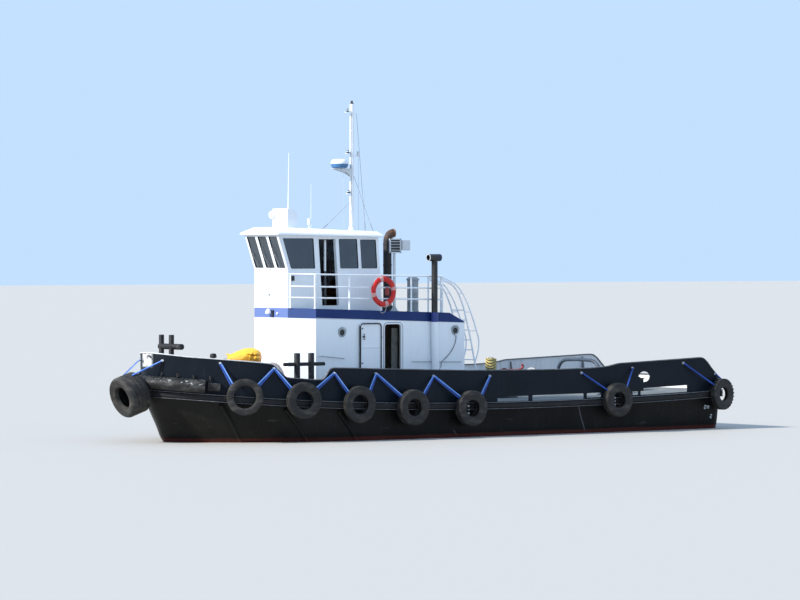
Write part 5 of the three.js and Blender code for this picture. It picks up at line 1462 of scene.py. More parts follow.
def door_leaf():
    """The weathertight door: rounded plate with a flange, stiffeners, rubber and dogs."""
    bm = bmesh.new()
    x0, x1 = HINGE.x + 0.03, HINGE.x + 0.74
    z0, z1 = 1.09, 3.0
    inner, outer = HINGE.y - 0.025, HINGE.y + 0.025
    body = dict(body="deckhouse_door")

    def outline(y, inset, radius):
        a, b, c, d = x0 + inset, x1 - inset, z0 + inset, z1 - inset
        return softened([(a, y, c), (b, y, c), (b, y, d), (a, y, d)], radius, 6, closed=True)

    plate(bm, outline(inner, 0, 0.1), 0.02 * Y)
    flange = inner + 0.018
    half = (outer - flange) / 2
    sweep(bm, outline((flange + outer) / 2, 0.018, 0.09), square(0.012, -half, half), Y, closed=True)
    for z in (1.72, 2.36):
        slab(bm, (x0 + 0.06, flange, z - 0.02), (x1 - 0.06, inner + 0.024, z + 0.02))
        slab(bm, (x0 + 0.06, inner + 0.022, z - 0.005), (x1 - 0.06, inner + 0.04, z + 0.005))
    for z in LUG_HEIGHTS:
        drum(bm, (HINGE.x, HINGE.y, z + 0.001), (HINGE.x, HINGE.y, z + 0.08), 0.018, sides=16)
        slab(bm, (HINGE.x, HINGE.y - 0.012, z + 0.001), (HINGE.x + 0.06, HINGE.y + 0.012, z + 0.08))
    bmesh.ops.recalc_face_normals(bm, faces=bm.faces)
    for face in bm.faces:
        at = face.calc_center_median()
        rim = min(at.x - x0, x1 - at.x, at.z - z0, z1 - at.z) < 0.012
        face.material_index = int(rim and abs(face.normal.y) < 0.4)
    piece("door_leaf", bm, [WHITE, GASKET], bevel=0.003, replaces="deckhouse_door", **body)

    bm = bmesh.new()
    sweep(bm, outline(outer - 0.002, 0.021, 0.085), square(0.014, -0.012, 0.002), Y, closed=True)
    piece("door_seal", bm, GASKET, **body)

    bm = bmesh.new()
    hx = HINGE.x + 0.61
    back = outer - 0.02
    handle(bm, (hx, back, 2.57), (hx, back, 2.71), Y * 0.05, 0.009, 0.02)
    latch = [(hx - 0.04, back, 1.33), (hx - 0.04, outer + 0.02, 1.33), (hx + 0.015, outer + 0.02, 1.25)]
    pipe(bm, softened(latch, 0.02), 0.008)
    drum(bm, (hx, outer - 0.03, 2.64), (hx, outer + 0.012, 2.64), 0.024, sides=18)
    for z in (1.25, 1.95, 2.85):
        drum(bm, (x1 - 0.09, outer - 0.03, z), (x1 - 0.09, outer - 0.002, z), 0.016, sides=14)
    piece("door_furniture", bm, SATIN_BLACK, **body)


def doorway():
    """The coaming round the deckhouse doorway, a thin dark line round it that is painted shadow of the
    coaming, and the corners of its opening.
    """
    x0, x1, z0, z1 = DOORWAY
    y = HOUSE_HALF
    corners = [Vector(p) for p in ((x0, y, z0), (x1, y, z0), (x1, y, z1), (x0, y, z1))]
    bm = bmesh.new()
    outline_frame(bm, corners, Y, 0.11, 0.024, 0.009, -0.06)
    piece("doorway_coaming", bm, WHITE, bevel=0.003)
    # Painted shadow: a thin dark line in gasket black round the coaming, where the coaming's shadow falls.
    bm = bmesh.new()
    shadow_line = [(x0 - 0.045, y, z0 - 0.02), (x1 + 0.02, y, z0 - 0.02), (x1 + 0.02, y, z1 + 0.03),
            (x0 - 0.045, y, z1 + 0.03)]
    outline_frame(bm, shadow_line, Y, 0.13, 0.012, 0.003, -0.004)
    piece("doorway_painted_shadow", bm, GASKET)
    bm = bmesh.new()
    round_line = framed_line(corners, 0.11)
    per = len(round_line) // 4
    for k, corner in enumerate(corners):
        arc = round_line[k * per:(k + 1) * per]
        plate(bm, [p - WALL * Y for p in (corner, *arc)], (WALL - 0.001) * Y)
    piece("doorway_corners", bm, WHITE)


def lobby():
    """The dark space behind the doorway, with a curtain."""
    back, front, foot, head, thick = 0.25, 1.2, 1.0, 3.0, 0.02
    aft, fore = DOORWAY[0] - 0.35, DOORWAY[1] + 0.35
    boxes("lobby_walls", LINING,
          ((aft, back, foot), (fore, back + thick, head)),
          ((aft, back, foot), (aft + thick, front, head)),
          ((fore - thick, back, foot), (fore, front, head)),
          ((aft, back, head - thick), (fore, front, head)))
    folds, rows = 24, 14
    wide, tall = 0.2, 1.7             # hung in folds at half its flat width
    bm = bmesh.new()

    def place(i, j):
        f = i / folds
        return Vector((1.29 + wide * f, 1.02 + 0.02 * math.sin(f * 26), 1.15 + tall * j / rows))

    skin(bm, folds, rows, place)
    bmesh.ops.solidify(bm, geom=bm.faces[:], thickness=0.003)
    made = piece("lobby_curtain", bm, plain("curtain_cloth", (0.42, 0.42, 0.38), 0.8), slot="cabin_lining")


GRAB_RAILS = ((4.05, 3.22, 2.165, 2.08), (0.982, 0.395, 1.964, 1.954), (0.17, -0.611, 1.949, 1.935))


def wall_fittings():
    """Grab rails, hinge lugs, drain lips, lamp and hooks on the walls."""
    rails, pins, seams = [bmesh.new() for _ in range(3)]
    for side in (1, -1):
        out = Y * side
        for x0, x1, z0, z1 in GRAB_RAILS:
            start, end = Vector((x0, HOUSE_HALF * side, z0)), Vector((x1, HOUSE_HALF * side, z1))
            handle(rails, start, end, out * 0.05, 0.011, 0.03)
        stand = (HOUSE_HALF + 0.002) * side
        for fore_z, aft_z, half in ((3.14, 2.97, 0.006), (1.02, 0.96, 0.02)):
            pipe(seams, [(HOUSE_FRONT - CHAMFER, stand, fore_z), (HOUSE_AFT, stand, aft_z)], half, 8)
    for z in LUG_HEIGHTS:
        slab(pins, (HINGE.x - 0.019, HOUSE_HALF - 0.005, z - 0.03),
             (HINGE.x + 0.019, HINGE.y + 0.016, z - 0.0002))
        drum(pins, (HINGE.x, HINGE.y, z - 0.045), (HINGE.x, HINGE.y, z + 0.09), 0.008, sides=12)
    piece("grab_rails", rails, GREY)
    piece("hinge_pins", pins, GALVANISED)
    piece("wall_seams", seams, WHITE)

    x = HOUSE_FRONT
    bm = bmesh.new()
    slab(bm, (x, -0.04, 3.35), (x + 0.06, 0.02, 3.37))
    spun(bm, [(0, 0.0), (0.076, 0.0), (0.08, 0.02), (0.06, 0.075), (0.03, 0.12), (0, 0.125)],
         (x + 0.084, -0.01, 3.25), Z, 22)
    drum(bm, (x + 0.001, 0.3, 3.255), (x + 0.03, 0.3, 3.255), 0.03, sides=18)
    piece("front_lamp", bm, PLASTIC_WHITE)
    bm = bmesh.new()
    pipe(bm, [(x + 0.02, 0.11, 3.32), (x + 0.02, 0.11, 3.16)], 0.02)
    drum(bm, (x + 0.001, 0.11, 3.31), (x + 0.03, 0.11, 3.31), 0.03, sides=14)
    piece("front_fittings", bm, SATIN_BLACK)
    bm = bmesh.new()
    slab(bm, (x, -0.13, 3.725), (x + 0.03, -0.04, 3.775))
    pipe(bm, [(x + 0.015, -0.06, 3.735), (x + 0.05, 0.02, 3.70)], 0.01)
    piece("front_hook", bm, GREY)


for build in (cad_finishes, portholes, door_leaf, doorway, lobby, wall_fittings):
    build()


# Wheelhouse.
SIDE_WINDOWS = [(3.74, 4.53, 5.215, 0.275), (2.34, 2.96, 5.2, None), (1.73, 2.27, 5.185, None)]
CABIN_DOORWAY = (3.035, 3.61, 3.44, 5.2)
FRONT_PANES = [(-0.69, -0.29), (-0.205, 0.205), (0.29, 0.69)]
FRONT_HEAD = roof_under(HOUSE_FRONT + RAKE - WALL) - 0.0003
DOOR_Y = CABIN_HALF - WALL - 0.008
DOOR_T = 0.035


def side_corners(x0, x1, z0, z1, side, fore_shift=None):
    """The corners of a side window; its fore edge leans with the wall unless fore_shift says how far."""
    fore = lean(x1, z1) if fore_shift is None else x1 + fore_shift
    y = CABIN_HALF * side
    return [Vector(p) for p in ((lean(x0, z0), y, z0), (lean(x1, z0), y, z0), (fore, y, z1),
                                (lean(x0, z1), y, z1))]


def front_point(y, z):
    return Vector((HOUSE_FRONT + RAKE * (z - SILL_Z) / (FRONT_HEAD - SILL_Z), y, z))


def window(frames, seals, panes, corners, normal):
    """One window: pane, black seal and a pale metal frame with rounded corners."""
    middle = sum(corners, Vector()) / 4
    outline_frame(frames, corners, normal, 0.05, 0.022, 0.006, -0.012)
    shrunk = [c + (middle - c).normalized() * 0.017 for c in corners]
    outline_frame(seals, shrunk, normal, 0.05, 0.014, 0.0, -0.02)
    plate(panes, [c - normal * 0.022 for c in corners], normal * 0.005)


def window_group():
    """Side windows, raked front panes, the aft one and the starboard twin of the doorway, with wipers."""
    parts = [bmesh.new() for _ in range(3)]
    foot = SILL_Z + 0.005
    for side in (1, -1):
        for x0, x1, top, shift in SIDE_WINDOWS:
            window(*parts, side_corners(x0, x1, foot, top, side, shift), Y * side)
    x0, x1, _, top = CABIN_DOORWAY
    window(*parts, side_corners(x0, x1, foot, top, -1), -Y)
    rake = (front_point(0, FRONT_HEAD) - front_point(0, SILL_Z)).normalized()
    front_out = Y.cross(rake)
    low, high = SILL_Z + 0.025, FRONT_HEAD - 0.032
    for y0, y1 in FRONT_PANES:
        corners = [front_point(y, z) for y, z in ((y0, low), (y1, low), (y1, high), (y0, high))]
        window(*parts, corners, front_out)
    aft = [Vector((lean(CABIN_AFT, z), y, z)) for y, z in
           ((-0.52, 4.45), (0.52, 4.45), (0.52, 5.12), (-0.52, 5.12))]
    window(*parts, aft, -X)
    frames, seals, panes = parts
    piece("window_frames", frames, PLASTIC_WHITE, slot="white_paint")
    piece("window_seals", seals, GASKET)
    piece("window_panes", panes, GLASS)

    bm = bmesh.new()
    for y0, y1 in FRONT_PANES:
        pivot = front_point((y0 + y1) / 2, SILL_Z - 0.01) + front_out * 0.03
        tip = front_point((y0 + y1) / 2 - 0.13, SILL_Z + 0.42) + front_out * 0.014
        drum(bm, pivot - front_out * 0.03, pivot + front_out * 0.01, 0.013, sides=14)
        pipe(bm, [pivot, tip], 0.0035, 6)
        pipe(bm, [tip - rake * 0.16, tip + rake * 0.16], 0.004, 6)
    piece("wipers", bm, GREY, slot="black_paint")


def sliding_door_fittings():
    """Glass, seal and handle of the sliding door, which move with it."""
    foot, tall, width, travel = 3.39, 1.815, 0.64, 0.64
    aft = CABIN_DOORWAY[0] - travel + 0.015
    body = dict(body="wheelhouse_door")

    def at(x, h, y=DOOR_Y):
        across = aft + x + LEAN * (foot + h - SILL_Z)
        return Vector((across, y, foot + h - HOUSE_SLOPE * (CABIN_DOORWAY[1] - across)))

    corners = [at(x, h) for x, h in ((0.09, 1.05), (width - 0.09, 1.05), (width - 0.09, tall - 0.11),
                                     (0.09, tall - 0.11))]
    bm = bmesh.new()
    outline_frame(bm, corners, Y, 0.03, 0.02, 0.003, -0.03)
    piece("sliding_door_seal", bm, GASKET, **body)
    bm = bmesh.new()
    plate(bm, [c - Y * 0.02 for c in corners], 0.005 * Y)
    piece("sliding_door_pane", bm, GLASS, **body)
    bm = bmesh.new()
    grip = width - 0.045
    handle(bm, at(grip, 0.82, DOOR_Y - DOOR_T), at(grip, 0.98, DOOR_Y - DOOR_T), -Y * 0.03, 0.007, 0.015)
    piece("sliding_door_handle", bm, GALVANISED, **body)


def cabin_trim():
    """Door surround, panel joints and the side light boxes."""
    trim, lights = bmesh.new(), bmesh.new()
    x0, x1, z0, z1 = CABIN_DOORWAY
    outline_frame(trim, side_corners(x0, x1, z0, z1, 1), Y, 0.03, 0.03, 0.008, -0.03)
    for side in (1, -1):
        y = CABIN_HALF * side
        for x in (2.66, 2.365):
            pipe(trim, [(lean(x, z), y, z) for z in (3.45, 4.4)], 0.005, 6)
        box = sorted((y, y + 0.05 * side))
        slab(lights, (4.44, box[0], 4.105), (4.54, box[1], 4.23))
    piece("cabin_trim", trim, WHITE)
    piece("side_light_boxes", lights, SATIN_BLACK, bevel=0.004)


def roof():
    """Roof: sides and visor slope down to a thin rounded edge with a rain gutter."""
    def ring(front, aft, half, rise, height=roof_under):
        return [Vector((x, y, height(x) + rise)) for x, y in
                ((front, -half), (front, half), (aft, half), (aft, -half))]

    edge = ROOF["front"], ROOF["aft"], ROOF["half"]
    rings = [ring(*edge, 0), ring(*edge, ROOF["edge"]),
             ring(ROOF["top_front"], ROOF["top_aft"], ROOF["top_half"], 0, roof_top)]
    bm = bmesh.new()
    skin(bm, 2, 4, lambda i, j: rings[i][j % 4])
    fill_ends(bm)
    made = piece("roof_shell", bm, WHITE, bevel=0.018, replaces="wheelhouse_roof")
    made.modifiers["edges"].segments = 4
    bm = bmesh.new()
    gutter = ring(edge[0] + 0.002, edge[1] - 0.002, edge[2] + 0.002, 0.012)
    pipe(bm, softened(gutter, 0.05, 5, True), 0.011, 8, closed=True)
    piece("roof_gutter", bm, WHITE)


def cabin_inside():
    """What shows through the panes: lining, console, wheel, helm seat, chart table and radios."""
    boxes("cabin_lining", LINING,
          ((1.76, -0.69, 5.17), (4.6, 0.69, 5.19)),
          ((1.76, -0.69, house_top(1.76) + 0.001), (4.5, 0.69, house_top(4.5) + 0.02)))
    bm = bmesh.new()
    top = slab(bm, (3.98, -0.64, 4.3), (4.52, 0.6, 4.36))
    bmesh.ops.rotate(bm, verts=top, cent=(4.25, 0, 4.33), matrix=Matrix.Rotation(0.12, 3, "Y"))
    for low, high in (((4.12, -0.64, 3.41), (4.5, 0.6, 4.3)), ((4.2, -0.5, 4.36), (4.32, -0.2, 4.56)),
                      ((4.22, 0.15, 4.36), (4.34, 0.4, 4.5)), ((4.15, -0.08, 4.36), (4.22, 0.06, 4.46)),
                      ((4.25, -0.45, 5.02), (4.45, 0.3, 5.12))):
        slab(bm, low, high)
    piece("console", bm, CONSOLE, bevel=0.012)
    boxes("flare_box", RED, ((4.1, 0.42, 4.36), (4.22, 0.56, 4.47)), bevel=0.01)
    bm = bmesh.new()
    hub, axle = Vector((3.92, 0, 4.3)), Vector((1, 0, 0.45)).normalized()
    hoop(bm, hub, axle, 0.24, 0.016, 10, 36)
    for k in range(6):
        arm = Matrix.Rotation(math.pi / 3 * k, 3, axle) @ axle.orthogonal().normalized()
        drum(bm, hub, hub + arm * 0.26, 0.011, sides=8)
    drum(bm, (3.9, 0, 4.29), (4.06, 0, 4.36), 0.035, sides=16)
    piece("helm_wheel", bm, WOOD)
    bm = bmesh.new()
    drum(bm, (3.1, 0, 3.36), (3.1, 0, 3.95), 0.05, sides=16)
    slab(bm, (2.87, -0.23, 3.95), (3.33, 0.23, 4.06))
    back = slab(bm, (2.84, -0.22, 4.05), (2.92, 0.22, 4.65))
    bmesh.ops.rotate(bm, verts=back, cent=(2.88, 0, 4.05), matrix=Matrix.Rotation(-0.12, 3, "Y"))
    piece("helm_seat", bm, SEAT, bevel=0.03)
    boxes("chart_table", WOOD,
          ((1.78, -0.66, 4.1), (2.5, -0.1, 4.14)),
          ((1.78, -0.66, 3.36), (2.45, -0.62, 4.1)),
          ((1.78, 0.1, 3.36), (2.2, 0.6, 4.05)), bevel=0.006)
    boxes("cabin_post", RAIL_WHITE, ((3.29, 0.56, 4.35), (3.34, 0.60, 5.17)))
    # Painted shade: the post's foot, below the sill, is made dark where the cabin's lower part lies in
    # shadow.
    boxes("cabin_post_shaded_foot", CONSOLE, ((3.285, 0.555, 3.43), (3.345, 0.605, 4.35)))


for build in (window_group, sliding_door_fittings, cabin_trim, roof, cabin_inside):
    build()


# On the roof.
CASING = dict(aft=4.008, front=4.338, half=0.345, top=5.978, cut_x=0.21, cut_z=0.118)
ROOF_LAMP_X = 3.4


def roof_gear():
    """The casing with its seams, a searchlight, two whip aerials and a small lamp."""
    bm = bmesh.new()
    front, aft, half, top = CASING["front"], CASING["aft"], CASING["half"], CASING["top"]
    cut = aft + CASING["cut_x"]
    foot = roof_top(aft) - 0.01
    outline = [(front, foot), (front, top - 0.02), (front - 0.02, top), (cut, top),
               (aft, top - CASING["cut_z"]), (aft, foot)]
    plate(bm, [Vector((x, -half, z)) for x, z in outline], 2 * half * Y)
    made = piece("casing_shell", bm, WHITE, bevel=0.012, replaces="roof_casing")
    made.modifiers["edges"].segments = 3
    bm = bmesh.new()
    for y in (-0.16, 0.05):
        pipe(bm, [(front - 0.03, y, top - 0.001), (cut, y, top - 0.001)], 0.004, 6)
    for z in (5.52, 5.74):
        pipe(bm, [(aft + 0.02, half - 0.001, z), (front - 0.02, half - 0.001, z)], 0.003, 6)
    piece("casing_seams", bm, WHITE)
    bm = bmesh.new()
    spun(bm, [(0, -0.01), (0.06, -0.01), (0.09, 0.006), (0.1, 0.03), (0.1, 0.063), (0.093, 0.074),
              (0.086, 0.066), (0, 0.06)], (front, -0.31, 5.82), X, 32)
    piece("searchlight", bm, PLASTIC_WHITE)
    bm = bmesh.new()
    x, y = front - 0.05, half - 0.04
    drum(bm, (x, y, top - 0.01), (x - 0.002, y, top + 0.16), 0.0215, 0.017)
    drum(bm, (x - 0.002, y, top + 0.16), (x - 0.02, y, 7.42), 0.0155, 0.007, 12)
    lamp = Vector((ROOF_LAMP_X, 0, roof_top(ROOF_LAMP_X)))
    drum(bm, lamp - Z * 0.01, lamp + Z * 0.12, 0.03, 0.025)
    drum(bm, lamp + Z * 0.12, lamp + Z * 0.28, 0.055, 0.045)
    for x, y, high in ((3.285, -0.08, 6.63), (1.68, 0.1, 6.35)):
        drum(bm, (x, y, roof_top(x) - 0.01), (x, y, high), 0.007, 0.004, 8)
    piece("aerials", bm, PLASTIC_WHITE)


MAST_X, MAST_TOP = 2.02, 8.75
MAST_LAMPS = ((0.15, 8.56), (0.13, 7.47), (0.11, 6.42))     # how far each stands forward, and its height
RADAR = Vector((2.42, 0, 7.05))
STAYS = (((-0.15, 8.5), (1.7, 0.17)), ((0, 7.0), (1.7, 0.51)), ((0, 7.0), (1.7, -0.51)),
         ((0, 6.2), (2.99, 0)))


def mast():
    """The mast tube with flared foot, bands, spurs and gussets, and its lamps."""
    x, foot = MAST_X, roof_top(MAST_X)
    tall = MAST_TOP - foot
    bm, bodies, lenses = [bmesh.new() for _ in range(3)]
    spun(bm, [(0, 0), (0.105, 0), (0.105, 0.012), (0.086, 0.04), (0.07, 0.12), (0.062, 0.18), (0.059, 0.4),
              (0.055, 1.8), (0.051, tall), (0, tall)], (x, 0, foot), Z, 28)
    gussets(bm, (x, 0, foot + 0.01), 4, math.pi / 4, 0.05, 0.104, 0.16)
    for reach, z in MAST_LAMPS:
        at = Vector((x + reach, 0, z))
        pipe(bm, [(x, 0, z), at], 0.014)
        slab(bm, at - Vector((0.05, 0.045, 0.035)), at + Vector((0.05, 0.045, -0.022)))
        drum(bodies, at - Z * 0.022, at + Z * 0.01, 0.04, sides=18)
        drum(bodies, at + Z * 0.045, at + Z * 0.06, 0.04, 0.02, 18)
        drum(lenses, at + Z * 0.008, at + Z * 0.047, 0.034, sides=18)
    pipe(bm, [(x, 0, 7.38), (x - 0.26, 0, 7.38)], 0.018)
    pipe(bm, [(x, 0, 8.5), (x - 0.16, 0, 8.5)], 0.01)
    for z in (8.05, 7.0, 5.9):
        collar(bm, (x, 0, z), Z, 0.05, 0.061, -0.012, 0.012, 20)
    piece("mast_tube", bm, RAIL_WHITE, slot="white_paint", replaces="mast")
    drum(bodies, (x, 0, MAST_TOP), (x, 0, MAST_TOP + 0.02), 0.05, sides=20)
    drum(bodies, (x, 0, MAST_TOP + 0.02), (x, 0, MAST_TOP + 0.085), 0.03, 0.026)
    piece("lamp_bodies", bodies, SATIN_BLACK)
    ball(lenses, (x, 0, MAST_TOP + 0.068), 0.02)
    drum(lenses, (x - 0.19, 0, 7.39), (x - 0.19, 0, 7.5), 0.026, 0.034, 16)
    piece("lamp_lenses", lenses, LENS)


def radar():
    """The dome on its bracket, half white and half blue."""
    x = MAST_X
    bm = bmesh.new()
    cheek = [(0.03, 6.83), (0.2, 6.93), (0.6, 7.03), (0.6, 7.045), (0.03, 7.045)]
    for y in (-0.063, 0.057):
        plate(bm, [Vector((x + a, y, z)) for a, z in cheek], 0.006 * Y)
    slab(bm, (x + 0.05, -0.1, 7.036), (x + 0.62, 0.1, 7.046))
    pipe(bm, [(x + 0.27, 0.0, 7.04), (x + 0.27, 0.02, roof_top(x + 0.27))], 0.003, 6)
    piece("radar_bracket", bm, GALVANISED)
    bm = bmesh.new()
    spun(bm, [(0, 0.245), (0.12, 0.24), (0.19, 0.222), (0.222, 0.185), (0.231, 0.14), (0.2305, 0.118),
              (0, 0.118)], RADAR, Z, 44)
    piece("radar_top", bm, PLASTIC_WHITE, replaces="radar_dome")
    bm = bmesh.new()
    spun(bm, [(0, 0.117), (0.2295, 0.117), (0.228, 0.07), (0.205, 0.02), (0.17, 0.0), (0, 0.0)], RADAR, Z, 44)
    piece("radar_base", bm, RADAR_BLUE)


def stays():
    """Wire stays with their screws and eyes, and the aerial and lamp cables on the mast."""
    x = MAST_X
    bm = bmesh.new()
    for (back, high_z), (low_x, low_y) in STAYS:
        high = Vector((x + back, 0, high_z))
        low = Vector((low_x, low_y, roof_top(low_x)))
        along = (high - low).normalized()
        pipe(bm, [high, low + along * 0.03], 0.005, 6)
        drum(bm, low + along * 0.06, low + along * 0.24, 0.011, sides=10)
        hoop(bm, low + Z * 0.015, Y, 0.018, 0.005, 6, 12)
    lead = [(x + 0.045, 0.03, 8.5), (x + 0.06, 0.03, 7.6), (x + 0.05, 0.04, 6.4), (x + 0.09, 0.05, 5.55)]
    pipe(bm, curved(lead, 8), 0.006, 6)
    pipe(bm, [(x - 0.22, 0.0, 7.38), (x - 0.2, 0.02, roof_top(x - 0.2))], 0.003, 6)
    piece("stay_wires", bm, WIRE)


def floodlight():
    """Floodlight and junction box on a flanged post behind the wheelhouse."""
    x, y = 1.15, 0.7
    foot = house_top(x)
    bm = bmesh.new()
    flanged_post(bm, x, y, foot, 4.85, 0.04, 20, 0.11, 28, 0.022)
    gussets(bm, (x, y, foot + 0.02), 3, 0, 0.038, 0.1, 0.12)
    slab(bm, (x - 0.47, y - 0.08, 4.89), (x - 0.21, y + 0.08, 5.16))
    slab(bm, (x - 0.45, y + 0.078, 4.91), (x - 0.23, y + 0.088, 5.14))
    pipe(bm, [(x - 0.21, y, 5.02), (x - 0.15, y, 5.02)], 0.03)
    lead = [(x + 0.01, y, 4.0), (x + 0.05, y + 0.05, 4.4), (x + 0.02, y + 0.06, 4.85)]
    pipe(bm, softened(lead, 0.1), 0.007, 6)
    piece("post_and_box", bm, GALVANISED, bevel=0.006, replaces="floodlight_post")
    boxes("louvre_box", SATIN_BLACK, ((x - 0.175, y - 0.06, 4.83), (x + 0.19, y + 0.045, 5.19)))
    bm = bmesh.new()
    for x0, z0, x1, z1 in ((-0.18, 4.82, 0.195, 4.85), (-0.18, 5.17, 0.195, 5.2), (-0.18, 4.82, -0.145, 5.2),
                           (0.16, 4.82, 0.195, 5.2)):
        slab(bm, (x + x0, y + 0.03, z0), (x + x1, y + 0.075, z1))
    for k in range(4):
        z = 4.9 + k * 0.075
        fin = slab(bm, (x - 0.15, y + 0.03, z - 0.004), (x + 0.165, y + 0.085, z + 0.004))
        bmesh.ops.rotate(bm, verts=fin, cent=(x, y + 0.06, z), matrix=Matrix.Rotation(-0.5, 3, "X"))
    piece("louvre_frame", bm, GALVANISED, bevel=0.002)


def exhaust():
    """The exhaust stack: a flared foot, three bands, and an elbow with a burnt lip and a black disc in its
    mouth, soot and painted shade for the hollow.
    """
    x = 0.85
    foot = house_top(x)
    path = curved([(x, 0, foot + 0.06), (x, 0, 4.3), (x, 0, 5.06), (x - 0.03, 0, 5.23), (x - 0.1, 0, 5.32),
                   (x - 0.2, 0, 5.35)], 8)
    bm = bmesh.new()
    spun(bm, [(0, 0), (0.2, 0), (0.2, 0.015), (0.15, 0.13), (0.118, 0.15), (0, 0.15)], (x, 0, foot), Z, 32)
    pipe(bm, path, 0.113, 28)
    for z in (3.9, 4.5, 5.05):
        collar(bm, (x, 0, z), Z, 0.112, 0.121, -0.02, 0.02, 28)
    piece("stack_pipe", bm, STACK, replaces="exhaust_stack")
    mouth = path[-1]
    bm = bmesh.new()
    collar(bm, mouth, -X, 0.095, 0.118, -0.03, 0.005, 28)
    piece("stack_lip", bm, plain("burnt_lip", (0.34, 0.20, 0.13), 0.6), slot="black_paint")
    bm = bmesh.new()
    # A black disc in the pipe's mouth: soot, and painted shade standing for the dark hollow of the pipe.
    drum(bm, mouth + X * 0.004, mouth - X * 0.0015, 0.098, sides=28)
    piece("stack_throat_soot_and_shade", bm, plain("soot", (0.004, 0.004, 0.004), 0.95), slot="black_paint")


def drum_vent():
    """The vent drum with two hoops and a wider cap."""
    x, y = 0.31, 0.4
    bm = bmesh.new()
    hoops = [(r, low + z) for low in (0.25, 0.5) for r, z in ((0.15, 0), (0.156, 0.01), (0.15, 0.02))]
    spun(bm, [(0, 0), (0.165, 0), (0.165, 0.02), (0.15, 0.03), *hoops, (0.15, 0.83), (0.174, 0.84),
              (0.174, 0.87), (0.12, 0.92), (0, 0.925)], (x, y, house_top(x)), Z, 36)
    piece("drum_vent", bm, GREY, replaces="vent_drum")


PIPE_FOOT_X, PIPE_X, PIPE_R, PIPE_UPPER_R = 0.282, 0.326, 0.098, 0.082
PIPE_Y = HOUSE_HALF + PIPE_R + 0.004


def side_pipe():
    """The pipe up the port wall with clips, a narrower length above the rail, and its sideways head."""
    bm = bmesh.new()
    foot, shoulder = Vector((PIPE_FOOT_X, PIPE_Y, sheer(PIPE_X) + 0.005)), Vector((PIPE_X, PIPE_Y, 3.262))
    drum(bm, foot, shoulder, PIPE_R, sides=32)
    drum(bm, (PIPE_X, PIPE_Y, 3.25), (PIPE_X, PIPE_Y, 4.72), PIPE_UPPER_R, sides=32)
    spun(bm, [(PIPE_R - 0.01, 0), (PIPE_R + 0.003, 0), (PIPE_R + 0.003, 0.014), (PIPE_R - 0.002, 0.03)],
         foot, Z, 32)
    for z in (1.53, 2.53):
        at = foot.lerp(shoulder, (z - foot.z) / (shoulder.z - foot.z))
        collar(bm, at, Z, 0.097, 0.101, -0.02, 0.02, 32)
        slab(bm, (at.x - 0.03, HOUSE_HALF + 0.0005, z - 0.02), (at.x + 0.03, PIPE_Y - 0.09, z + 0.02))
    head = Vector((PIPE_X, PIPE_Y, 4.7))
    spun(bm, [(0.082, 0.0), (0.094, 0.0), (0.094, -0.39), (0.06, -0.4), (0, -0.4), (0, -0.385), (0.07, -0.37),
              (0.082, -0.3)], head + X * 0.21, X, 32)
    piece("pipe_and_head", bm, PIPE_PAINT, replaces="side_pipe", sharp=30)
    bm = bmesh.new()
    for shift in (-0.06, -0.15):
        collar(bm, head + X * shift, X, 0.093, 0.0965, -0.018, 0.018, 32)
    piece("head_bands", bm, plain("head_band_blue", (0.02, 0.03, 0.07), 0.4), slot="blue_paint")
    bm = bmesh.new()
    collar(bm, head + X * 0.205, X, 0.078, 0.096, -0.01, 0.006, 32)
    piece("head_rim", bm, GALVANISED)


RAIL_Y, RAIL_R = HOUSE_HALF - 0.04, 0.021
RAIL_HEIGHTS = [(0.88, 0.955), (0.56, 0.64), (0.27, 0.345)]
RAIL_END = -0.04
STANCHIONS = (4.1, 3.0, 2.0, 0.99, RAIL_END)


def rail_height(x, front, aft):
    """The height of a rail bar that starts at front above the house's top and ends at aft."""
    return house_top(x) + front + (aft - front) * (HOUSE_FRONT - x) / (HOUSE_FRONT - RAIL_END)


def guard_rails():
    """Three bars on stanchions round the deckhouse top."""
    start, knee = (HOUSE_FRONT - 0.03, CABIN_HALF + RAIL_R), (HOUSE_FRONT - CHAMFER - 0.01, RAIL_Y)
    for name, side in BOTH:
        bm = bmesh.new()
        for bar in RAIL_HEIGHTS:
            line = [(x, y * side, rail_height(x, *bar)) for x, y in (start, knee)]
            line.append((RAIL_END - 0.02, RAIL_Y * side, rail_height(RAIL_END, *bar)))
            pipe(bm, softened(line, 0.12, 6), RAIL_R, 12)
        for x in STANCHIONS:
            top = rail_height(x, *RAIL_HEIGHTS[0])
            flanged_post(bm, x, RAIL_Y * side, house_top(x), top, 0.0225, 14, 0.04, 18)
        x = start[0] - 0.025
        foot = house_top(x)
        flanged_post(bm, x, (start[1] + 0.02) * side, foot, foot + 0.89, RAIL_R, 14, 0.038, 18)
        piece(f"rail_{name}", bm, RAIL_WHITE, replaces=f"guard_rail_{name}")


LADDER_Y, LADDER_R = (0.475, 1.025), 0.022
LADDER_INNER = [(-1.56, 0.9), (-1.31, 1.82), (-1.14, 2.56), (-1.01, 3.02), (-0.86, 3.5), (-0.59, 3.93),
                (-0.15, 4.13)]
LADDER_OUTER = [(-1.29, 1.9), (-1.4, 2.2), (-1.42, 2.51), (-1.32, 2.82), (-1.2, 3.13), (-1.01, 3.53),
                (-0.76, 3.89), (-0.52, 4.05), (-0.08, 4.21)]
LADDER_STRUTS = ((-1.1, -1.35, 2.75), (-0.95, -1.15, 3.25), (-0.72, -0.86, 3.75))


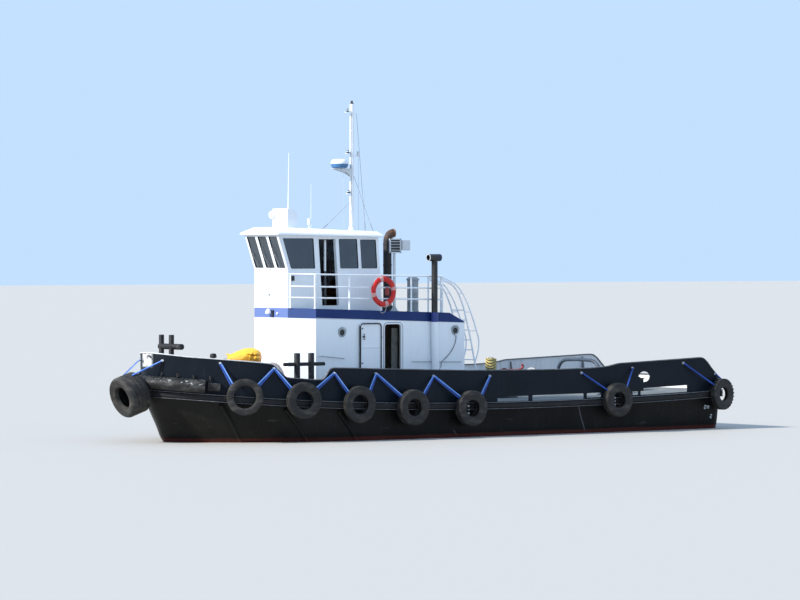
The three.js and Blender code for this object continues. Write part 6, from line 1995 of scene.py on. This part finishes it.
def ladder():
    """The aft ladder with its inner and outer stringers and round rungs."""
    bm = bmesh.new()
    for y in LADDER_Y:
        for line, radius in ((LADDER_INNER, LADDER_R), (LADDER_OUTER, LADDER_R * 0.86)):
            pipe(bm, curved([(x, y, z) for x, z in line], 6), radius, 12)
        flanged_post(bm, -0.15, y, house_top(-0.15), 4.215, LADDER_R, 14, 0.045, 18)
        slab(bm, (-1.62, y - 0.05, 0.893), (-1.5, y + 0.05, 0.905))
        for x0, x1, z in LADDER_STRUTS:
            pipe(bm, [(x0, y, z), (x1, y, z)], 0.012, 8)
    for k in range(9):
        z = 1.18 + k * 0.265
        x = -1.31 + (0.275 if z < 1.82 else 0.24) * (z - 1.82)
        drum(bm, (x, LADDER_Y[0], z), (x, LADDER_Y[1], z), 0.014, sides=12)
    piece("ladder_tubes", bm, RAIL_WHITE, replaces="aft_ladder")


def life_ring():
    """The ring with its grab line, the loose end of the heaving line, and a canister inside it."""
    y = RAIL_Y + RAIL_R * math.sin(math.radians(72)) + RING_HALF
    bm = bmesh.new()
    profile = [(RING_MAJOR + a, b) for a, b in ring_points(20, RING_THICK, RING_HALF / RING_THICK)]
    spun(bm, profile, (RING_X, y, RING_Z), Y, 64, closed=True)
    piece("ring_body", bm, RING_PLASTIC, replaces="life_ring")
    bm = bmesh.new()
    for k in range(4):
        arc = []
        for n in range(13):
            t = math.pi / 2 * k + 0.45 + (math.pi / 2 - 0.4) * n / 12
            r = 0.398 + 0.012 * math.sin(math.pi * n / 12)
            arc.append((RING_X + r * math.cos(t), y + 0.01, RING_Z + r * math.sin(t)))
        pipe(bm, arc, 0.0045, 6)
    droop = [(-0.1, -0.37), (-0.05, -0.52), (0.05, -0.56), (0.12, -0.5), (0.15, -0.36)]
    pipe(bm, curved([(RING_X + a, y, RING_Z + b) for a, b in droop], 6), 0.005, 6)
    piece("ring_lines", bm, CORD_WHITE)
    bm = bmesh.new()
    lamp = Vector((RING_X - 0.115, RAIL_Y + RAIL_R + 0.064, 3.72))
    spun(bm, [(0, 0), (0.045, 0), (0.055, 0.02), (0.055, 0.17), (0.04, 0.2), (0, 0.21)], lamp, Z, 24)
    slab(bm, lamp + Vector((-0.02, -0.066, 0.06)), lamp + Vector((0.02, -0.04, 0.09)))
    piece("ring_lamp", bm, RED)


for build in (roof_gear, mast, radar, stays, floodlight, exhaust, drum_vent, side_pipe, guard_rails, ladder,
              life_ring):
    build()


# Deck gear.
def bitts(name, node, at, tall, post_r, gap, bar, bar_height, bar_r, across):
    """Two posts through a crossbar that reaches bar[0] and bar[1] from their middle, on a base plate."""
    x, y = at
    z = sheer(x)
    way = Y if across else X
    bm = bmesh.new()
    middle = Vector((x, y, z))
    for d in (-gap / 2, gap / 2):
        foot = middle + way * d
        spun(bm, [(0, 0), (post_r, 0), (post_r, tall - 0.014), (post_r - 0.004, tall - 0.004),
                  (post_r - 0.014, tall), (0, tall)], foot, Z, 32)
        spun(bm, [(post_r + 0.022, 0.03), (post_r + 0.004, 0.05), (post_r, 0.03)], foot, Z, 32, closed=True)
    low_end, high_end = bar
    spun(bm, [(0, low_end), (bar_r - 0.01, low_end), (bar_r, low_end + 0.01), (bar_r, high_end - 0.01),
              (bar_r - 0.01, high_end), (0, high_end)], middle + Z * bar_height, way, 32)
    wide = (0.16, gap) if across else (gap, 0.16)
    slab(bm, (x - wide[0], y - wide[1], z + 0.001), (x + wide[0], y + wide[1], z + 0.034))
    piece(name, bm, BLACK, replaces=node, sharp=30)


# The cover's girths: height, half length, half width, and the X of its middle, from the hem to the crown.
COVER_GIRTHS = [(1.42, 0.395, 0.425, 5.46), (1.8, 0.42, 0.45, 5.46), (2.1, 0.47, 0.495, 5.46),
                (2.212, 0.447, 0.467, 5.445), (2.3, 0.3, 0.355, 5.365), (2.355, 0.13, 0.18, 5.32),
                (2.362, 0.0, 0.0, 5.31), ]
COVER_ROWS = 6


def windlass():
    """The small windlass under the cover: bed, cheeks, drum, gearbox and brake spindle."""
    bm = bmesh.new()
    x, z = 5.46, sheer(5.46)
    slab(bm, (x - 0.3, -0.33, z + 0.002), (x + 0.3, 0.33, z + 0.08))
    for y in (-0.28, 0.22):
        web = [(x - 0.24, z + 0.07), (x + 0.24, z + 0.07), (x + 0.1, z + 0.95), (x - 0.16, z + 0.95)]
        plate(bm, [Vector((a, y, b)) for a, b in web], 0.03 * Y)
    drum(bm, (x - 0.03, -0.3, z + 0.7), (x - 0.03, 0.26, z + 0.7), 0.15, sides=28)
    slab(bm, (x - 0.2, -0.2, z + 0.86), (x + 0.16, 0.2, z + 1.08))
    drum(bm, (5.33, 0, z + 1.05), (5.33, 0, 2.33), 0.05, sides=20)
    piece("windlass_body", bm, GREY, bevel=0.008)


def cover_girth(f):
    at = f * (len(COVER_GIRTHS) - 1)
    k = min(int(at), len(COVER_GIRTHS) - 2)
    return [a + (b - a) * (at - k) for a, b in zip(COVER_GIRTHS[k], COVER_GIRTHS[k + 1])]


def windlass_cover():
    """A yellow cloth over the windlass: crumpled lobes, a drawn-out corner and a wavy hem."""
    windlass()
    bm = bmesh.new()
    around, up = 96, COVER_ROWS * (len(COVER_GIRTHS) - 1)

    def place(i, j):
        t = 2 * math.pi * i / around
        f = j / up
        z, half_x, half_y, middle = cover_girth(f)
        broad = noise.noise(Vector((1.7 * math.cos(t), 1.7 * math.sin(t), 6 * z)))
        fine = noise.noise(Vector((6 * math.cos(t), 6 * math.sin(t), 9 * z + 3)))
        hang = max(0.0, 1 - f * 2.2)
        pleats = hang * 0.5 * (1 + math.sin(13 * t + 2 * math.sin(3 * t)))
        crease = math.exp(-((z - 2.2 - 0.03 * math.sin(2 * t + 1)) / 0.02) ** 2)
        port_fold = math.exp(-((t - 1.46) / 0.09) ** 2) * math.exp(-((z - 2.12) / 0.09) ** 2)
        corner = math.exp(-((t - 5.73) / 0.2) ** 2) * math.exp(-((z - 2.215) / 0.022) ** 2)
        scale = 1 - 0.05 * (0.5 + broad) - 0.035 * (0.5 + fine) - 0.05 * pleats - 0.08 * crease
        scale = min(1.0, scale) - 0.16 * port_fold + 0.24 * corner
        dx, dy = half_x * scale * math.cos(t), half_y * scale * math.sin(t)
        fall = max(0.0, 0.8 * dx - 0.6 * dy) * min(1.0, max(0.0, z - 2.0) * 5) * (1 - corner)
        sag = 0.018 * broad * min(1.0, f * 2, half_x / 0.13) + 0.03 * hang * math.sin(5 * t) - 0.13 * fall
        return Vector((middle + dx, dy, min(2.362, z + sag)))

    skin(bm, around, up, place)
    bmesh.ops.remove_doubles(bm, verts=bm.verts, dist=1e-4)
    area = sum(face.calc_area() for face in bm.faces)
    bmesh.ops.recalc_face_normals(bm, faces=bm.faces)
    bmesh.ops.solidify(bm, geom=bm.faces[:], thickness=0.003)
    made = piece("cover_cloth", bm, COVER, replaces="windlass_cover", sharp=80)
    side = math.sqrt(area / 0.75)


def foredeck_gear():
    bitts("foredeck_bitts", "foredeck_bitt", (7.77, -0.166), 1.47, 0.068, 0.458, (-0.307, 0.716), 1.17,
          0.075, True)
    for name, y, tall, bar in (("port", 1.93, 1.214, 0.928), ("starboard", -1.93, 0.98, 0.7)):
        bitts(f"{name}_bitts", f"{name}_bitt", (4.94, y), tall, 0.078, 0.442, (-0.64, 0.64), bar, 0.048,
              False)
    windlass_cover()
    bm = bmesh.new()
    x, y = 7.05, 0.9
    spun(bm, [(0, 0), (0.09, 0), (0.09, 0.012), (0.055, 0.02), (0.055, 0.95), (0.088, 0.965), (0.088, 1.0),
              (0.07, 1.06), (0, 1.07)], (x, y, sheer(x)), Z, 32)
    piece("mushroom_vent", bm, BLACK, replaces="foredeck_vent")


def towing_gear():
    """The tow post with its swinging hook, and the arch aft of it."""
    x = -3.1
    foot = sheer(x)
    height = 0.74
    hook = Vector((x, 0, foot + height))
    bm = bmesh.new()
    slab(bm, (x - 0.26, -0.26, foot + 0.0005), (x + 0.26, 0.26, foot + 0.035))
    spun(bm, [(0, 0), (0.13, 0.02), (0.112, 0.06), (0.11, height - 0.06), (0.1, height - 0.04),
              (0, height - 0.04)], (x, 0, foot), Z, 36)
    web = [(0.25, 0.01), (0.06, 0.57), (0.06, 0.01)]
    plate(bm, [Vector((x + a, -0.02, foot + b)) for a, b in web], 0.04 * Y)
    spun(bm, [(0, -0.06), (0.044, -0.06), (0.044, 0.044), (0.05, 0.048), (0.05, 0.058), (0.03, 0.062),
              (0, 0.062)], hook, Z, 28)
    piece("tow_post_body", bm, BLACK, bevel=0.004, replaces="tow_post")
    bm = bmesh.new()
    spun(bm, [(0.05, -0.038), (0.1, -0.038), (0.11, -0.028), (0.11, 0.03), (0.1, 0.04), (0.05, 0.04)],
         hook, Z, 32, closed=True)
    shank = [(-0.09, 0), (-0.3, 0), (-0.48, 0.005), (-0.6, 0.035), (-0.645, 0.1), (-0.61, 0.155)]
    pipe(bm, curved([hook + X * a + Z * b for a, b in shank], 6), 0.031, 16)
    piece("tow_hook_body", bm, RED, body="tow_hook", replaces="tow_hook")

    x, half, top = -5.7, 0.93, 1.885
    foot = sheer(x)
    side = [Vector((x, y, z)) for y, z in (
        (half, foot), (half - 0.01, foot + 0.35), (half - 0.06, top - 0.23), (half - 0.26, top - 0.045),
        (half - 0.62, top))]
    bm = bmesh.new()
    pipe(bm, curved(side + [sided(p, -1) for p in reversed(side)], 6), 0.048, 20)
    for y in (half, -half):
        drum(bm, (x, y, foot), (x, y, foot + 0.02), 0.1, sides=28)
    piece("tow_arch_tube", bm, ARCH_PAINT, replaces="tow_arch")


def coil_post():
    """The post with a crossbar that carries the rope coil."""
    x = COIL["x"]
    foot = sheer(x)
    tall = 1.99 - foot
    bm = bmesh.new()
    spun(bm, [(0, 0.001), (0.17, 0.001), (0.17, 0.025), (0.08, 0.035), (0.075, 0.06), (0.075, tall - 0.012),
              (0.07, tall - 0.003), (0.06, tall), (0, tall)], (x, 0, foot), Z, 32)
    bar_z = COIL["low"] - 0.0283
    drum(bm, (x, -0.22, bar_z), (x, 0.22, bar_z), 0.0275, sides=16)
    piece("coil_post_body", bm, BLACK, replaces="coil_post")


# The mooring line's coil: post, heights of its lowest and highest turns, first turn's radius, rope diameter.
COIL = dict(x=-2.64, y=0.0, low=1.645, high=1.985, inner=0.0895, rope=0.026)

foredeck_gear()
towing_gear()
coil_post()


# Cords: a mooring line in turns round its post, and the cable down the port wall.
def rope_coil():
    """Turns worked out layer by layer, up one layer and down the next."""
    d = COIL["rope"]
    points = []
    per_turn = 16
    layers = 3
    turns = int((COIL["high"] - COIL["low"] - d) / (d * 1.04))
    for layer in range(layers):
        r = COIL["inner"] + d * 1.02 * layer
        for k in range(turns * per_turn + 1):
            f = k / (turns * per_turn)
            climb = f if layer % 2 == 0 else 1 - f
            z = COIL["low"] + d / 2 + (COIL["high"] - COIL["low"] - d) * climb
            ease = min(1.0, k / per_turn) if layer else 1.0
            radius = r - d * 1.02 * (1 - ease) if layer else r
            t = 2 * math.pi * (k / per_turn)
            points.append(Vector((COIL["x"] + radius * math.cos(t), COIL["y"] + radius * math.sin(t), z)))
    return points


def cable_route():
    """The cable's line from the gland under the aft porthole to the socket box, as in the frame."""
    route = [(-0.450, 2.640), (-0.449, 2.570), (-0.430, 2.470), (-0.386, 2.370), (-0.290, 2.220),
             (-0.155, 2.085), (-0.040, 2.000), (0.030, 1.935), (0.052, 1.860), (0.052, 1.790)]
    y = HOUSE_HALF + 0.022
    return curved([(x, y, z) for x, z in route], 4)


def line_length(points):
    return sum((b - a).length for a, b in zip(points, points[1:]))


def cords():
    turns = rope_coil()
    bm = bmesh.new()
    pipe(bm, turns, COIL["rope"] / 2, 8)
    made = piece("mooring_rope", bm, ROPE, replaces="rope_coil")
    line_length(turns)
    route = cable_route()
    bm = bmesh.new()
    pipe(bm, route, 0.008, 10)
    made = piece("wall_cable_jacket", bm, CABLE, replaces="wall_cable")
    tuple(route[0])
    line_length(route)


cords()


# Light and floor.
FLOOR_COLOUR, SKY_COLOUR, SKY_STRENGTH = (0.44, 0.42, 0.39, 1), (0.51, 0.70, 0.97, 1), 1.08
SUN_STRENGTH, SUN_WIDTH, SUN_COLOUR, SUN_WAY = 6.2, 4, (1.0, 0.96, 0.9), (-0.8, 0.17, -0.55)


def stage():
    """A floor at the waterline, a pale sky and a low sun from ahead of the port beam."""
    floor = bpy.data.meshes.new("floor")
    bm = bmesh.new()
    bmesh.ops.create_grid(bm, x_segments=1, y_segments=1, size=400)
    bm.to_mesh(floor)
    bm.free()
    made = bpy.data.objects.new("floor", floor)
    bpy.context.scene.collection.objects.link(made)
    ground = Finish("floor", 0.75)
    ground.set("Base Color", FLOOR_COLOUR)
    made.data.materials.append(ground.material)

    world = bpy.data.worlds.new("studio")
    world.use_nodes = True
    back = world.node_tree.nodes["Background"]
    back.inputs["Color"].default_value = SKY_COLOUR
    back.inputs["Strength"].default_value = SKY_STRENGTH
    bpy.context.scene.world = world

    sun = bpy.data.lights.new("sun", "SUN")
    sun.energy = SUN_STRENGTH
    sun.angle = math.radians(SUN_WIDTH)
    sun.color = SUN_COLOUR
    lamp = bpy.data.objects.new("sun", sun)
    lamp.rotation_mode = "QUATERNION"
    lamp.rotation_quaternion = Vector(SUN_WAY).to_track_quat("-Z", "Y")
    bpy.context.scene.collection.objects.link(lamp)
    bpy.context.scene.view_settings.view_transform = "Standard"


stage()
